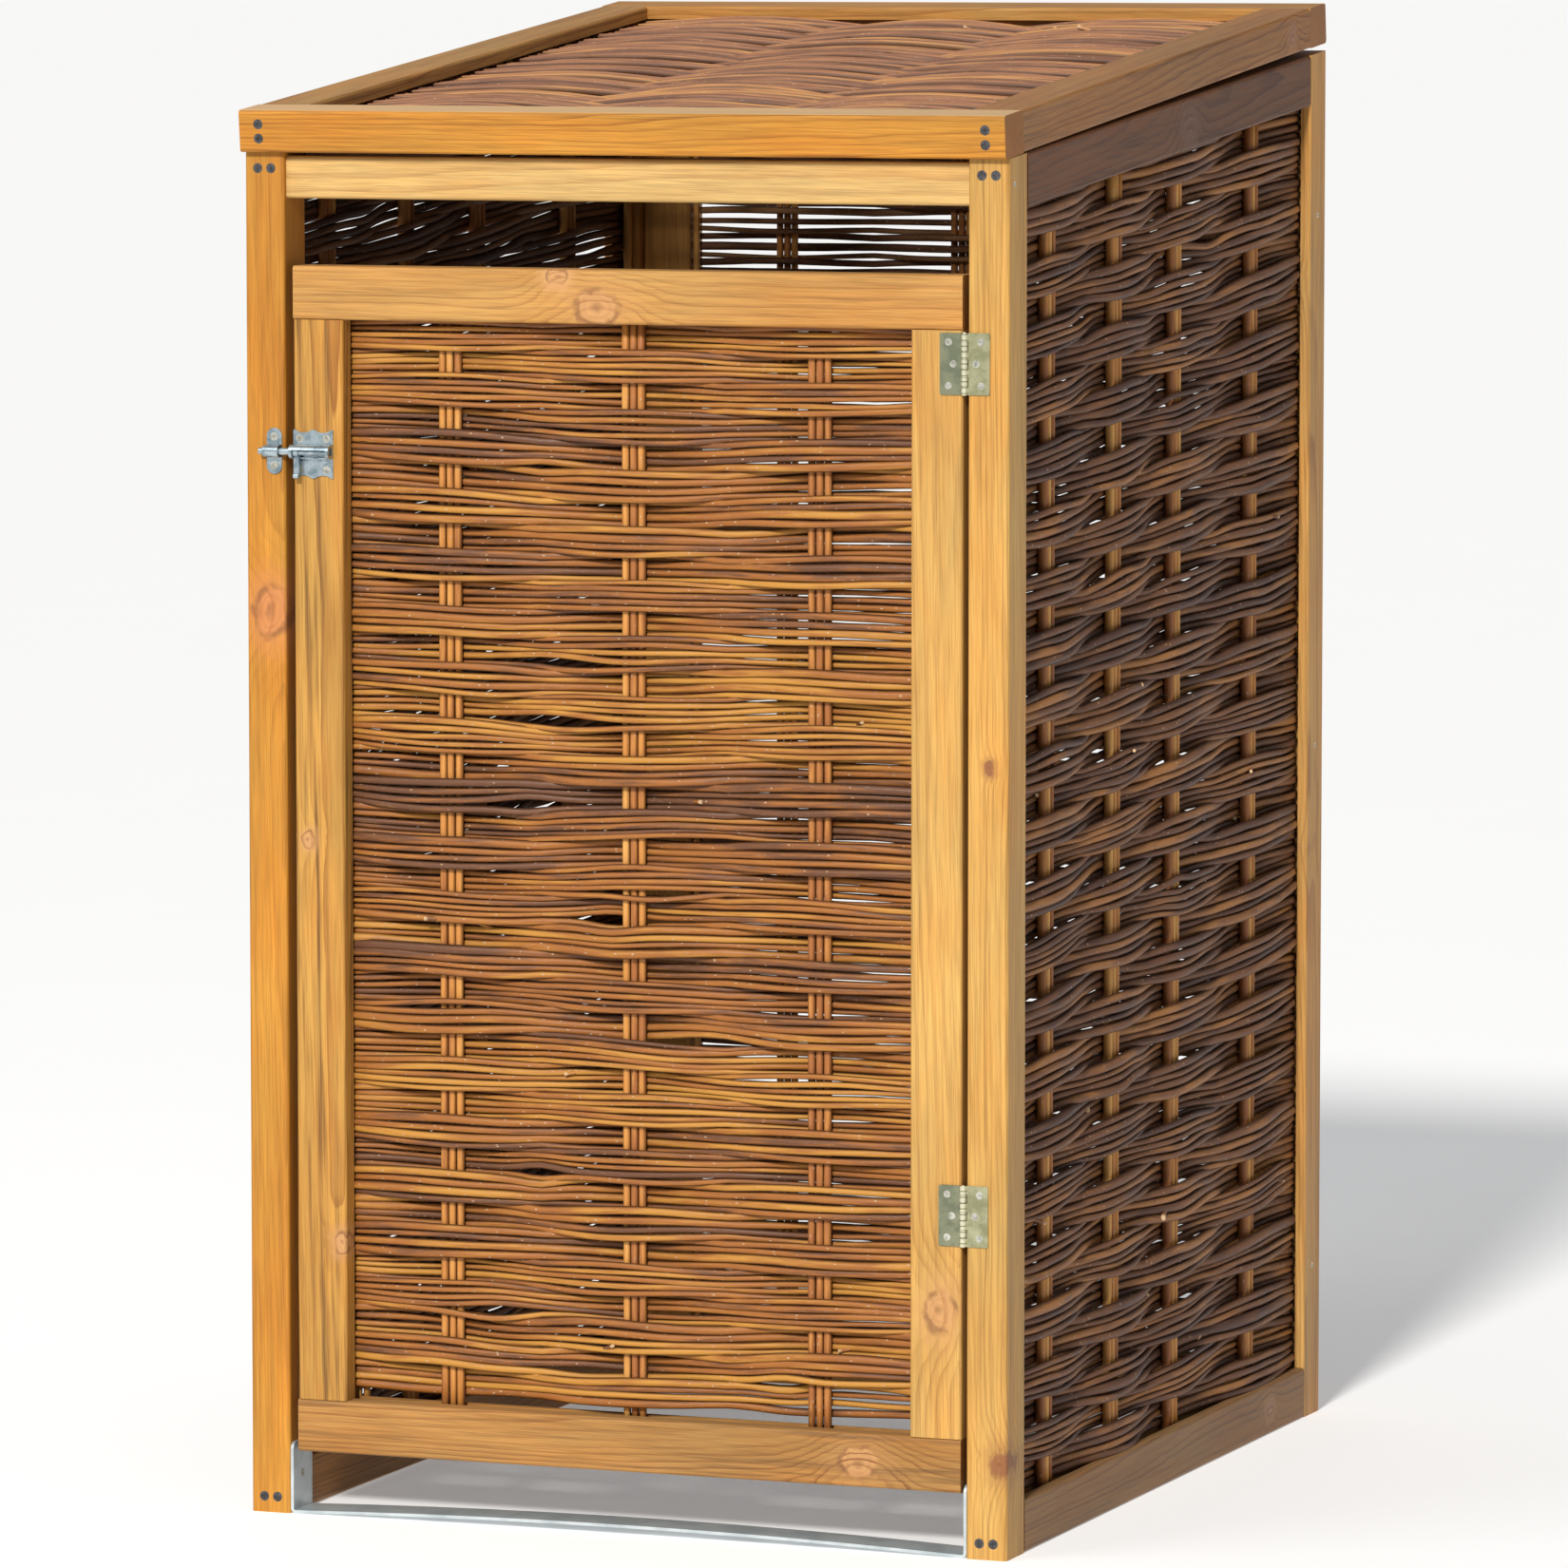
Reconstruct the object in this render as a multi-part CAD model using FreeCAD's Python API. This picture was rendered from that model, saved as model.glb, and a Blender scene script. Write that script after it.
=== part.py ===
import FreeCAD, Part
import math
import os

# A wheelie bin store: a housing of pine battens with woven willow panels, a sloping lid hinged
# along its rear edge, a door hinged on the right, a sliding bolt on the left and a steel strap
# across the threshold. Millimetres. +X is to the right as seen from the door, -Y is the door's
# side and +Z is up. The origin is on the ground, in the middle of the footprint.

# Housing
width = 650.0
depth = 800.0
front_height = 1100.0
roof_rise = 74.0

# Battens, all cut from one section
batten_thin = 34.0
batten_wide = 43.0
batten_round = 3.0

# Head rail across the front, over the door
head_rail_setback = 5.0
head_rail_drop = 3.0

# Door, and the open spaces above, below and beside it
slot_height = 53.5
door_floor_gap = 51.5
door_gap_left = 7.5
door_gap_right = 4.5

# Lid
lid_overhang = 8.5
lid_gap_front = 0.4
lid_gap_rear = 6.5

# Willow weave: bundles of weft pass over and under groups of stakes
weft_thickness = 5.5
weft_seam = 1.6
stake_radius = 3.2
side_stake_radius = 4.0
stake_gap = 0.4
stakes_in_group = 3
weave_clearance = 0.5
groove_width = 12.0
groove_depth = 8.0
groove_end_clearance = 0.5
door_weft_pitch = 23.0
side_weft_pitch = 24.5
back_weft_pitch = 23.0
lid_weft_pitch = 23.0
door_weave_from_back = 11.5
side_weave_set_in = 14.5
door_weave_rise = 9.0
door_group_spacing = 158.0
back_group_spacing = 162.0
lid_group_spacing = 180.0
side_group_places = (0.12, 0.345, 0.555, 0.835)

# Butt hinges, two on the door and two on the lid
hinge_height = 48.4
hinge_leaf_reach = 20.6
hinge_leaf_thickness = 1.2
hinge_leaf_gap = 0.2
hinge_leaf_corner = 1.5
hinge_knuckles = 7
knuckle_radius = 2.8
knuckle_gap = 0.3
knuckle_relief = 0.4
hinge_pin_radius = 1.25
hinge_pin_clearance = 0.05
hinge_pin_end = 0.6
door_hinge_top_inset = 69.0
door_hinge_bottom_inset = 220.5
lid_hinge_inset = 110.0
leaf_screw_spread = 17.0
leaf_screw_outer = 13.5
leaf_screw_inner = 9.5

# Sliding bolt on the door
bolt_drop = 148.5
bolt_plate_width = 34.5
bolt_plate_height = 39.0
bolt_plate_thickness = 1.2
bolt_plate_drop = 2.0
bolt_plate_inset = 0.4
bolt_scallop_depth = 2.4
bolt_lobe_width = 3.0
bolt_screw_inset_x = 5.5
bolt_screw_inset_z = 7.0
bolt_rod_radius = 3.0
bolt_rod_clearance = 0.1
bolt_rod_reach = 4.8
bolt_rod_chamfer = 0.6
bolt_barrel_clearance = 0.4
bolt_lip_gap = 0.4
bolt_loop_width = 2.6
handle_collar_wall = 1.2
handle_collar_clearance = 0.06
handle_width = 4.2
handle_thickness = 2.4
handle_length = 19.5
handle_curl_radius = 2.2
handle_side_gap = 0.4
handle_back_gap = 0.6

# Keeper on the left post
keeper_width = 13.2
keeper_height = 37.0
keeper_thickness = 1.3
keeper_rod_clearance = 0.7
keeper_edge_gap = 2.2
keeper_screw_spread = 11.5

# Threshold strap
strap_width = 37.0
strap_thickness = 2.5
strap_leg_height = 58.0
strap_leg_corner = 6.0
strap_bow = 6.0
strap_setback = 1.5
strap_bend_radius = 4.0
strap_screw_height = 31.0

# Screws and nails: head radius, head depth, shank radius, length
batten_screw = (4.0, 2.6, 2.0, 70.0)
hinge_screw = (2.9, 1.1, 1.5, 14.0)
bolt_screw = (3.3, 1.1, 1.5, 14.0)
strap_screw = (3.6, 1.6, 1.8, 20.0)
side_nail = (2.2, 0.9, 1.3, 55.0)
screw_fit = 0.05
screw_slot_width = 0.9
screw_slot_depth = 0.7
screw_slot_reach = 0.6
batten_screw_spread = 11.5
batten_screw_inset = 13.0
lid_screw_inset = 16.5
head_rail_nail_inset = 13.0
head_rail_nail_drop = 20.0
back_nail_inset = 22.0
back_nail_rise = 130.0
back_nail_drops = (594.0, 140.0)

# Smallest lengths and angles that the script tells apart, and how far a cutter runs past a face
touching = 1e-6
parallel = 0.9999
cut_overrun = 1.0

# Sizes and places worked out from the sizes above
rear_height = front_height + roof_rise
door_weave_set_in = batten_thin - door_weave_from_back
back_weave_set_in = batten_thin / 2
lid_weave_set_in = batten_thin / 2
handle_collar_radius = bolt_rod_radius + handle_collar_wall
bolt_barrel_bore = handle_collar_radius + bolt_barrel_clearance
bolt_barrel_radius = bolt_barrel_bore + bolt_plate_thickness
bolt_stand_off = handle_collar_radius + bolt_plate_thickness + handle_back_gap
half_width = width / 2
slope = math.atan2(rear_height - front_height, depth)
hinge_offset = hinge_leaf_thickness + hinge_leaf_gap
front_proud = bolt_stand_off + bolt_barrel_radius
rear_proud = hinge_offset + knuckle_radius
front_y = (front_proud - rear_proud - depth) / 2
rear_y = front_y + depth
post_inner_x = half_width - batten_thin
rail_front_y = front_y + batten_wide
rail_rear_y = rear_y - batten_wide
sloped_rail_drop = batten_wide / math.cos(slope)
head_rail_top = front_height - head_rail_drop
head_rail_bottom = head_rail_top - batten_thin
door_left = -post_inner_x + door_gap_left
door_right = post_inner_x - door_gap_right
door_bottom = door_floor_gap
door_top = head_rail_bottom - slot_height
bolt_height = door_top - bolt_drop

axis_x = FreeCAD.Vector(1, 0, 0)
axis_y = FreeCAD.Vector(0, 1, 0)
axis_z = FreeCAD.Vector(0, 0, 1)
middle = FreeCAD.Vector(0, 0, 0)


def roof_z(y):
    """Height of the sloping line that the tops of the posts and side rails follow."""
    return front_height + (y - front_y) * math.tan(slope)


# Shapes that the pieces are made from

def box(x0, x1, y0, y1, z0, z1):
    """Block between two opposite corners."""
    return Part.makeBox(x1 - x0, y1 - y0, z1 - z0, FreeCAD.Vector(x0, y0, z0))


def prism(points, travel):
    """Flat outline pushed along a vector."""
    corners = [FreeCAD.Vector(*point) for point in points]
    return Part.Face(Part.makePolygon(corners + corners[:1])).extrude(travel)


def cylinder_along(direction, radius, start, end, centre):
    """Round bar along a row axis, from one place on that axis to another."""
    base = centre - direction * centre.dot(direction) + direction * start
    return Part.makeCylinder(radius, end - start, base, direction)


def rounded(shape, direction, radius=batten_round):
    """Round off the straight edges that run along a direction."""
    edges = [
        edge for edge in shape.Edges
        if isinstance(edge.Curve, Part.Line) and abs(edge.Curve.Direction.dot(direction)) > parallel
    ]
    return shape.makeFillet(radius, edges)


def mirrored(shape):
    """The same piece on the other side of the middle plane."""
    return shape.mirror(middle, axis_x)


def joined(first, *others):
    """One solid from pieces that meet."""
    return first.fuse(others).removeSplitter()


def axes_at(origin, local_x, local_y, local_z):
    """Placement that turns the local axes to three given directions and moves them to a point."""
    return FreeCAD.Placement(origin, FreeCAD.Rotation(local_x, local_y, local_z, "ZXY"))


def facing(x, y, z, outward):
    """Placement of a screw whose head faces outward at a point."""
    return FreeCAD.Placement(FreeCAD.Vector(x, y, z), FreeCAD.Rotation(axis_z, outward))


def placed(shape, placement):
    """A copy of a shape, carried by a placement."""
    moved = shape.copy()
    moved.Placement = placement.multiply(moved.Placement)
    return moved


# Screws: the head's face is at z = 0 and the shank points to -Z

def turned(outline):
    """Solid of revolution about Z from (radius, height) corners."""
    corners = [FreeCAD.Vector(radius, 0, height) for radius, height in outline]
    return Part.Face(Part.makePolygon(corners + corners[:1])).revolve(middle, axis_z, 360)


def screw(size):
    """Countersunk screw with a cross recess in its head."""
    head_radius, head_depth, shank_radius, length = size
    body = turned([
        (0, 0), (head_radius, 0), (shank_radius, -head_depth), (shank_radius, -length), (0, -length),
    ])
    reach = head_radius * screw_slot_reach
    half = screw_slot_width / 2
    one_way = box(-reach, reach, -half, half, -screw_slot_depth, cut_overrun)
    other_way = box(-half, half, -reach, reach, -screw_slot_depth, cut_overrun)
    return body.cut(one_way.fuse(other_way))


def screw_bore(size):
    """The hole that a screw fills, with its fit clearance."""
    head_radius, head_depth, shank_radius, length = size
    head = head_radius + screw_fit
    shank = shank_radius + screw_fit
    end = -length - screw_fit
    return turned([
        (0, cut_overrun), (head, cut_overrun), (head, 0),
        (shank, -head_depth), (shank, end), (0, end),
    ])


def screws_at(size, placements):
    """The screws of one size at their places."""
    pattern = screw(size)
    return [placed(pattern, placement) for placement in placements]


def bored(shape, size, placements):
    """A shape with the holes for its screws."""
    pattern = screw_bore(size)
    return shape.cut([placed(pattern, placement) for placement in placements])


# Woven panels: u runs along the weft, v runs inwards from the outer face, w runs along the stakes

def weave_offset(u, knots, side):
    """How far a bundle stands to one side at u: full at each group, each way in turn, none at its ends."""
    amplitudes = [0.0] + [side * (-1) ** index for index in range(len(knots) - 2)] + [0.0]
    for left, right, here, there in zip(knots, knots[1:], amplitudes, amplitudes[1:]):
        if u <= right:
            share = (u - left) / (right - left)
            if here == 0.0:
                return there * math.sin(share * math.pi / 2)
            if there == 0.0:
                return here * math.cos(share * math.pi / 2)
            return here * math.cos(share * math.pi)
    return 0.0


def weft_bundle(knots, side, amplitude, low_start, rise, height):
    """Wavy band of weft: its plan follows the knots and its lower edge climbs by rise per millimetre."""
    places = []
    for left, right in zip(knots, knots[1:]):
        places += [left, left + (right - left) / 4, (left + right) / 2, left + (right - left) * 3 / 4]
    places.append(knots[-1])
    edges = []
    for offset in (-weft_thickness / 2, weft_thickness / 2):
        points = [
            FreeCAD.Vector(u, amplitude * weave_offset(u, knots, side) + offset, low_start + rise * u)
            for u in places
        ]
        curve = Part.BSplineCurve()
        curve.interpolate(points)
        edges.append(curve.toShape())
    ends = [
        Part.makeLine(edges[0].Vertexes[index].Point, edges[1].Vertexes[index].Point)
        for index in (0, 1)
    ]
    outline = Part.Wire(Part.__sortEdges__(edges + ends))
    return Part.Face(outline).extrude(FreeCAD.Vector(0, 0, height))


def woven_panel(length, height_start, height_end, groups, pitch, radius, rise_gap=0.0):
    """Weft bundles, stakes and groove of a panel that fills a frame's opening."""
    reach = groove_depth - groove_end_clearance
    knots = [-reach] + list(groups) + [length + reach]
    amplitude = radius + weave_clearance + weft_thickness / 2
    lower = min(height_start, height_end) - rise_gap
    rows = round(lower / pitch)
    bundle_height = lower / rows - weft_seam
    weft = []
    for row in range(rows):
        start = rise_gap + row * (height_start - rise_gap) / rows + weft_seam / 2
        end = rise_gap + row * (height_end - rise_gap) / rows + weft_seam / 2
        weft.append(weft_bundle(knots, (-1) ** row, amplitude, start, (end - start) / length, bundle_height))

    climb = (height_end - height_start) / length
    spread = 2 * radius + stake_gap
    edge_place = radius + stake_gap
    edge_lean = amplitude * abs(weave_offset(edge_place + radius, knots, 1))
    edge_depth = edge_lean + weft_thickness / 2 + weave_clearance + radius
    stakes = []
    for group in groups:
        for index in range(stakes_in_group):
            u = group + (index - (stakes_in_group - 1) / 2) * spread
            top = height_start + climb * u + reach - 2 * radius * abs(climb)
            stakes.append(Part.makeCylinder(radius, top + reach, FreeCAD.Vector(u, 0, -reach), axis_z))
    for u in (edge_place, length - edge_place):
        top = height_start + climb * u - 2 * radius * abs(climb)
        stakes.append(Part.makeCylinder(radius, top, FreeCAD.Vector(u, edge_depth, 0), axis_z))

    half = groove_width / 2
    far = length + groove_depth
    top_start = height_start - climb * groove_depth + groove_depth
    top_end = height_start + climb * far + groove_depth
    groove = prism(
        [(-groove_depth, -half, -groove_depth), (far, -half, -groove_depth),
         (far, -half, top_end), (-groove_depth, -half, top_start)],
        FreeCAD.Vector(0, groove_width, 0),
    )
    return weft, stakes, groove


def centred_groups(length, spacing):
    """Places of three stake groups about the middle of a panel."""
    return [length / 2 + step * spacing for step in (-1, 0, 1)]


# Butt hinges: the pin is on local Z, one leaf lies towards +X and the other towards -X,
# both just behind the pin's middle plane, and the knuckles show towards -Y

def hinge_leaf(way, first_knuckle, placement):
    """Leaf with every second knuckle, bored for the pin and the screws."""
    half = hinge_height / 2
    back = hinge_leaf_gap + hinge_leaf_thickness
    plate = box(knuckle_radius + knuckle_relief, hinge_leaf_reach, hinge_leaf_gap, back, -half, half)
    corners = [
        edge for edge in plate.Edges
        if abs(edge.CenterOfMass.x - hinge_leaf_reach) < touching
        and abs(abs(edge.CenterOfMass.z) - half) < touching
    ]
    plate = plate.makeFillet(hinge_leaf_corner, corners)
    pitch = hinge_height / hinge_knuckles
    pieces = []
    for index in range(first_knuckle, hinge_knuckles, 2):
        low = -half + index * pitch + knuckle_gap / 2
        high = low + pitch - knuckle_gap
        pieces.append(cylinder_along(axis_z, knuckle_radius, low, high, middle))
        pieces.append(box(0, knuckle_radius + 2 * knuckle_relief, hinge_leaf_gap, back, low, high))
    leaf = joined(plate, *pieces)
    bore = hinge_pin_radius + hinge_pin_clearance
    leaf = leaf.cut(cylinder_along(axis_z, bore, -half - cut_overrun, half + cut_overrun, middle))
    leaf = bored(leaf, hinge_screw, leaf_screw_places(1))
    if way < 0:
        leaf = leaf.mirror(middle, axis_x)
    return placed(leaf, placement)


def leaf_screw_places(way, placement=FreeCAD.Placement()):
    """Three screws in a leaf: the middle one nearer the knuckle."""
    spots = [
        (leaf_screw_outer, leaf_screw_spread),
        (leaf_screw_inner, 0.0),
        (leaf_screw_outer, -leaf_screw_spread),
    ]
    return [placement.multiply(facing(way * x, hinge_leaf_gap, z, -axis_y)) for x, z in spots]


def hinge_pin(placement):
    """Pin with domed ends, a little longer than the knuckles."""
    half = hinge_height / 2 + hinge_pin_end
    pin = cylinder_along(axis_z, hinge_pin_radius, -half, half, middle)
    rims = [edge for edge in pin.Edges if isinstance(edge.Curve, Part.Circle)]
    return placed(pin.makeFillet(hinge_pin_end, rims), placement)


nodes = {}


# Side frames: two posts, two rails and a woven panel each; the left one mirrors the right one

def upright(y0, y1):
    """Right-hand post, its top cut to the roof's slope."""
    outline = [
        (post_inner_x, y0, 0), (post_inner_x, y1, 0),
        (post_inner_x, y1, roof_z(y1)), (post_inner_x, y0, roof_z(y0)),
    ]
    return rounded(prism(outline, FreeCAD.Vector(batten_thin, 0, 0)), axis_z)


panel_length = rail_rear_y - rail_front_y
side_height_front = roof_z(rail_front_y) - sloped_rail_drop - batten_wide
side_height_rear = roof_z(rail_rear_y) - sloped_rail_drop - batten_wide
side_groups = [place * panel_length for place in side_group_places]
side_weave = woven_panel(
    panel_length, side_height_front, side_height_rear, side_groups, side_weft_pitch, side_stake_radius)
side_axes = axes_at(
    FreeCAD.Vector(half_width - side_weave_set_in, rail_front_y, batten_wide), axis_y, -axis_x, axis_z)
side_weft, side_stakes, side_groove = side_weave
side_groove = placed(side_groove, side_axes)

front_post = upright(front_y, rail_front_y)
rear_post = upright(rail_rear_y, rear_y)
sloped_outline = [
    (post_inner_x, rail_front_y, roof_z(rail_front_y) - sloped_rail_drop),
    (post_inner_x, rail_rear_y, roof_z(rail_rear_y) - sloped_rail_drop),
    (post_inner_x, rail_rear_y, roof_z(rail_rear_y)),
    (post_inner_x, rail_front_y, roof_z(rail_front_y)),
]
sloped_rail = prism(sloped_outline, FreeCAD.Vector(batten_thin, 0, 0))
sloped_rail = rounded(sloped_rail, FreeCAD.Vector(0, math.cos(slope), math.sin(slope)))
low_rail = rounded(box(post_inner_x, half_width, rail_front_y, rail_rear_y, 0, batten_wide), axis_y)

# Two screws side by side through each post into the end of each rail
post_middle_x = half_width - batten_thin / 2
post_screws = []
for step in (-0.5, 0.5):
    x = post_middle_x + step * batten_screw_spread
    for z in (batten_screw_inset, roof_z(front_y) - batten_screw_inset):
        post_screws.append(facing(x, front_y, z, -axis_y))
    for z in (batten_screw_inset, roof_z(rear_y) - batten_screw_inset):
        post_screws.append(facing(x, rear_y, z, axis_y))

# A nail through the front post into the head rail, and nails through the rear post into the back frame
back_nail_heights = [back_nail_rise] + [rear_height - drop for drop in back_nail_drops]
nail_heights = [(front_y + head_rail_nail_inset, front_height - head_rail_nail_drop)]
nail_heights += [(rear_y - back_nail_inset, z) for z in back_nail_heights]
side_nails = [facing(half_width, y, z, axis_x) for y, z in nail_heights]

# A screw through each leg of the threshold strap
strap_y = front_y + strap_setback
strap_middle_y = strap_y + strap_width / 2
strap_screws = [facing(post_inner_x - strap_thickness, strap_middle_y, strap_screw_height, -axis_x)]

# Screws of the keeper, which is on the left post only
bolt_y = front_y - bolt_stand_off
keeper_x = -post_inner_x - keeper_edge_gap - keeper_width / 2
keeper_screws = [
    facing(keeper_x, front_y - keeper_thickness, bolt_height + step * keeper_screw_spread, -axis_y)
    for step in (-1, 1)
]

# Door hinges, on the right post only
hinge_x = post_inner_x - door_gap_right / 2
hinge_y = front_y - hinge_offset
door_hinge_heights = {
    "upper": door_top - door_hinge_top_inset,
    "lower": door_bottom + door_hinge_bottom_inset,
}
door_hinges = {
    name: axes_at(FreeCAD.Vector(hinge_x, hinge_y, z), axis_x, axis_y, axis_z)
    for name, z in door_hinge_heights.items()
}
post_leaf_screws = [place for axes in door_hinges.values() for place in leaf_screw_places(1, axes)]
door_leaf_screws = [place for axes in door_hinges.values() for place in leaf_screw_places(-1, axes)]

for name, piece in (("front_post", front_post), ("rear_post", rear_post),
                    ("side_top_rail", sloped_rail), ("side_bottom_rail", low_rail)):
    piece = piece.cut(side_groove)
    piece = bored(piece, batten_screw, post_screws)
    piece = bored(piece, side_nail, side_nails)
    piece = bored(piece, strap_screw, strap_screws)
    right = piece
    left = mirrored(piece)
    if name == "front_post":
        right = bored(right, hinge_screw, post_leaf_screws)
        left = bored(left, bolt_screw, keeper_screws)
    nodes[name + "_right"] = [right]
    nodes[name + "_left"] = [left]

for name, pieces in (("side_weft", side_weft), ("side_stakes", side_stakes)):
    nodes[name + "_right"] = [placed(piece, side_axes) for piece in pieces]
    nodes[name + "_left"] = [mirrored(placed(piece, side_axes)) for piece in pieces]

frame_screws = screws_at(batten_screw, post_screws)
nodes["post_screws"] = frame_screws + [mirrored(piece) for piece in frame_screws]
nails = screws_at(side_nail, side_nails)
nodes["side_nails"] = nails + [mirrored(piece) for piece in nails]


# Head rail, between the front posts and a little behind their faces

head_rail = box(
    -post_inner_x, post_inner_x,
    front_y + head_rail_setback, front_y + head_rail_setback + batten_wide,
    head_rail_bottom, head_rail_top,
)
head_rail = rounded(head_rail, axis_x)
head_rail = bored(head_rail, side_nail, side_nails)
nodes["head_rail"] = [mirrored(bored(mirrored(head_rail), side_nail, side_nails))]


# Back frame, between the rear posts and flush with their rear faces

back_front_y = rear_y - batten_thin
back_top = roof_z(back_front_y)
back_inner_x = post_inner_x - batten_wide
back_middle_y = rear_y - batten_thin / 2
back_length = 2 * back_inner_x
back_height = back_top - 2 * batten_wide
back_weft, back_stakes, back_groove = woven_panel(
    back_length, back_height, back_height,
    centred_groups(back_length, back_group_spacing), back_weft_pitch, stake_radius)
back_axes = axes_at(
    FreeCAD.Vector(back_inner_x, rear_y - back_weave_set_in, batten_wide), -axis_x, -axis_y, axis_z)
back_groove = placed(back_groove, back_axes)

back_frame_screws = [
    facing(post_inner_x, back_middle_y, z + step * batten_screw_spread, axis_x)
    for z in (batten_wide / 2, back_top - batten_wide / 2) for step in (-0.5, 0.5)
]
lid_hinge_x = half_width - lid_hinge_inset

back_stile = rounded(box(back_inner_x, post_inner_x, back_front_y, rear_y, 0, back_top), axis_z)
back_stile = bored(back_stile.cut(back_groove), side_nail, side_nails)
back_stile = bored(back_stile, batten_screw, back_frame_screws)
nodes["back_stile_right"] = [back_stile]
nodes["back_stile_left"] = [mirrored(back_stile)]

for name, low in (("back_bottom_rail", 0.0), ("back_top_rail", back_top - batten_wide)):
    rail = rounded(box(-back_inner_x, back_inner_x, back_front_y, rear_y, low, low + batten_wide), axis_x)
    rail = bored(rail.cut(back_groove), batten_screw, back_frame_screws)
    rail = mirrored(bored(mirrored(rail), batten_screw, back_frame_screws))
    nodes[name] = [rail]

nodes["back_weft"] = [placed(piece, back_axes) for piece in back_weft]
nodes["back_stakes"] = [placed(piece, back_axes) for piece in back_stakes]
back_screws = screws_at(batten_screw, back_frame_screws)
nodes["back_frame_screws"] = back_screws + [mirrored(piece) for piece in back_screws]


# Threshold strap: two legs up the posts and a strip along the ground that bows up in the middle

def bowed_channel(half_span, floor, bend_radius):
    """Block as deep as the strap is wide, with upright sides, a bowed floor and rounded lower edges."""
    low = [FreeCAD.Vector(x, strap_y, floor) for x in (-half_span, half_span)]
    high = [FreeCAD.Vector(x, strap_y, strap_leg_height) for x in (-half_span, half_span)]
    bow = Part.Arc(low[0], FreeCAD.Vector(0, strap_y, floor + strap_bow), low[1]).toShape()
    sides = [Part.makeLine(low[1], high[1]), Part.makeLine(high[1], high[0]), Part.makeLine(high[0], low[0])]
    block = Part.Face(Part.Wire([bow] + sides)).extrude(FreeCAD.Vector(0, strap_width, 0))
    lower_edges = [
        edge for edge in block.Edges
        if isinstance(edge.Curve, Part.Line) and abs(edge.CenterOfMass.z - floor) < touching
        and abs(edge.Curve.Direction.dot(axis_y)) > parallel
    ]
    return block.makeFillet(bend_radius, lower_edges)


def threshold_strap():
    """Bent steel strip with rounded bends and rounded upper corners."""
    body = bowed_channel(post_inner_x, 0, strap_bend_radius)
    body = body.cut(bowed_channel(
        post_inner_x - strap_thickness, strap_thickness, strap_bend_radius - strap_thickness))
    corners = [
        edge for edge in body.Edges
        if abs(edge.CenterOfMass.z - strap_leg_height) < touching
        and isinstance(edge.Curve, Part.Line) and abs(edge.Curve.Direction.dot(axis_x)) > parallel
    ]
    body = body.makeFillet(strap_leg_corner, corners)
    body = bored(body, strap_screw, strap_screws)
    return mirrored(bored(mirrored(body), strap_screw, strap_screws))


nodes["threshold_strap"] = [threshold_strap()]
right_strap_screws = screws_at(strap_screw, strap_screws)
nodes["strap_screws"] = right_strap_screws + [mirrored(piece) for piece in right_strap_screws]


# Door: rails over the full width, stiles between them, and a woven panel

door_weave_length = door_right - door_left - 2 * batten_wide
door_weave_height = door_top - door_bottom - 2 * batten_wide
door_weft, door_stakes, door_groove = woven_panel(
    door_weave_length, door_weave_height, door_weave_height,
    centred_groups(door_weave_length, door_group_spacing), door_weft_pitch, stake_radius, door_weave_rise)
door_axes = axes_at(
    FreeCAD.Vector(door_left + batten_wide, front_y + door_weave_set_in, door_bottom + batten_wide),
    axis_x, axis_y, axis_z)
door_groove = placed(door_groove, door_axes)
door_back_y = front_y + batten_thin
door_middle_y = front_y + batten_thin / 2

door_frame_screws = []
for stile_middle in (door_left + batten_wide / 2, door_right - batten_wide / 2):
    for step in (-0.5, 0.5):
        x = stile_middle + step * batten_screw_spread
        door_frame_screws.append(facing(x, door_middle_y, door_top, axis_z))
        door_frame_screws.append(facing(x, door_middle_y, door_bottom, -axis_z))

# Bolt plate on the door's left stile
plate_x0 = door_left + bolt_plate_inset
plate_x1 = plate_x0 + bolt_plate_width
plate_middle_z = bolt_height - bolt_plate_drop
plate_face_y = front_y - bolt_plate_thickness
bolt_plate_screws = [
    facing(x, plate_face_y, plate_middle_z + way * (bolt_plate_height / 2 - bolt_screw_inset_z), -axis_y)
    for x in (plate_x0 + bolt_screw_inset_x, plate_x1 - bolt_screw_inset_x) for way in (-1, 1)
]


def door_batten(x0, x1, z0, z1, direction):
    """One batten of the door frame with its groove and its screw holes."""
    piece = rounded(box(x0, x1, front_y, door_back_y, z0, z1), direction)
    piece = piece.cut(door_groove)
    piece = bored(piece, batten_screw, door_frame_screws)
    piece = bored(piece, hinge_screw, door_leaf_screws)
    return [bored(piece, bolt_screw, bolt_plate_screws)]


stile_low = door_bottom + batten_wide
stile_high = door_top - batten_wide
nodes["door_top_rail"] = door_batten(door_left, door_right, stile_high, door_top, axis_x)
nodes["door_bottom_rail"] = door_batten(door_left, door_right, door_bottom, stile_low, axis_x)
nodes["door_stile_left"] = door_batten(door_left, door_left + batten_wide, stile_low, stile_high, axis_z)
nodes["door_stile_right"] = door_batten(door_right - batten_wide, door_right, stile_low, stile_high, axis_z)
nodes["door_weft"] = [placed(piece, door_axes) for piece in door_weft]
nodes["door_stakes"] = [placed(piece, door_axes) for piece in door_stakes]
nodes["door_frame_screws"] = screws_at(batten_screw, door_frame_screws)

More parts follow.
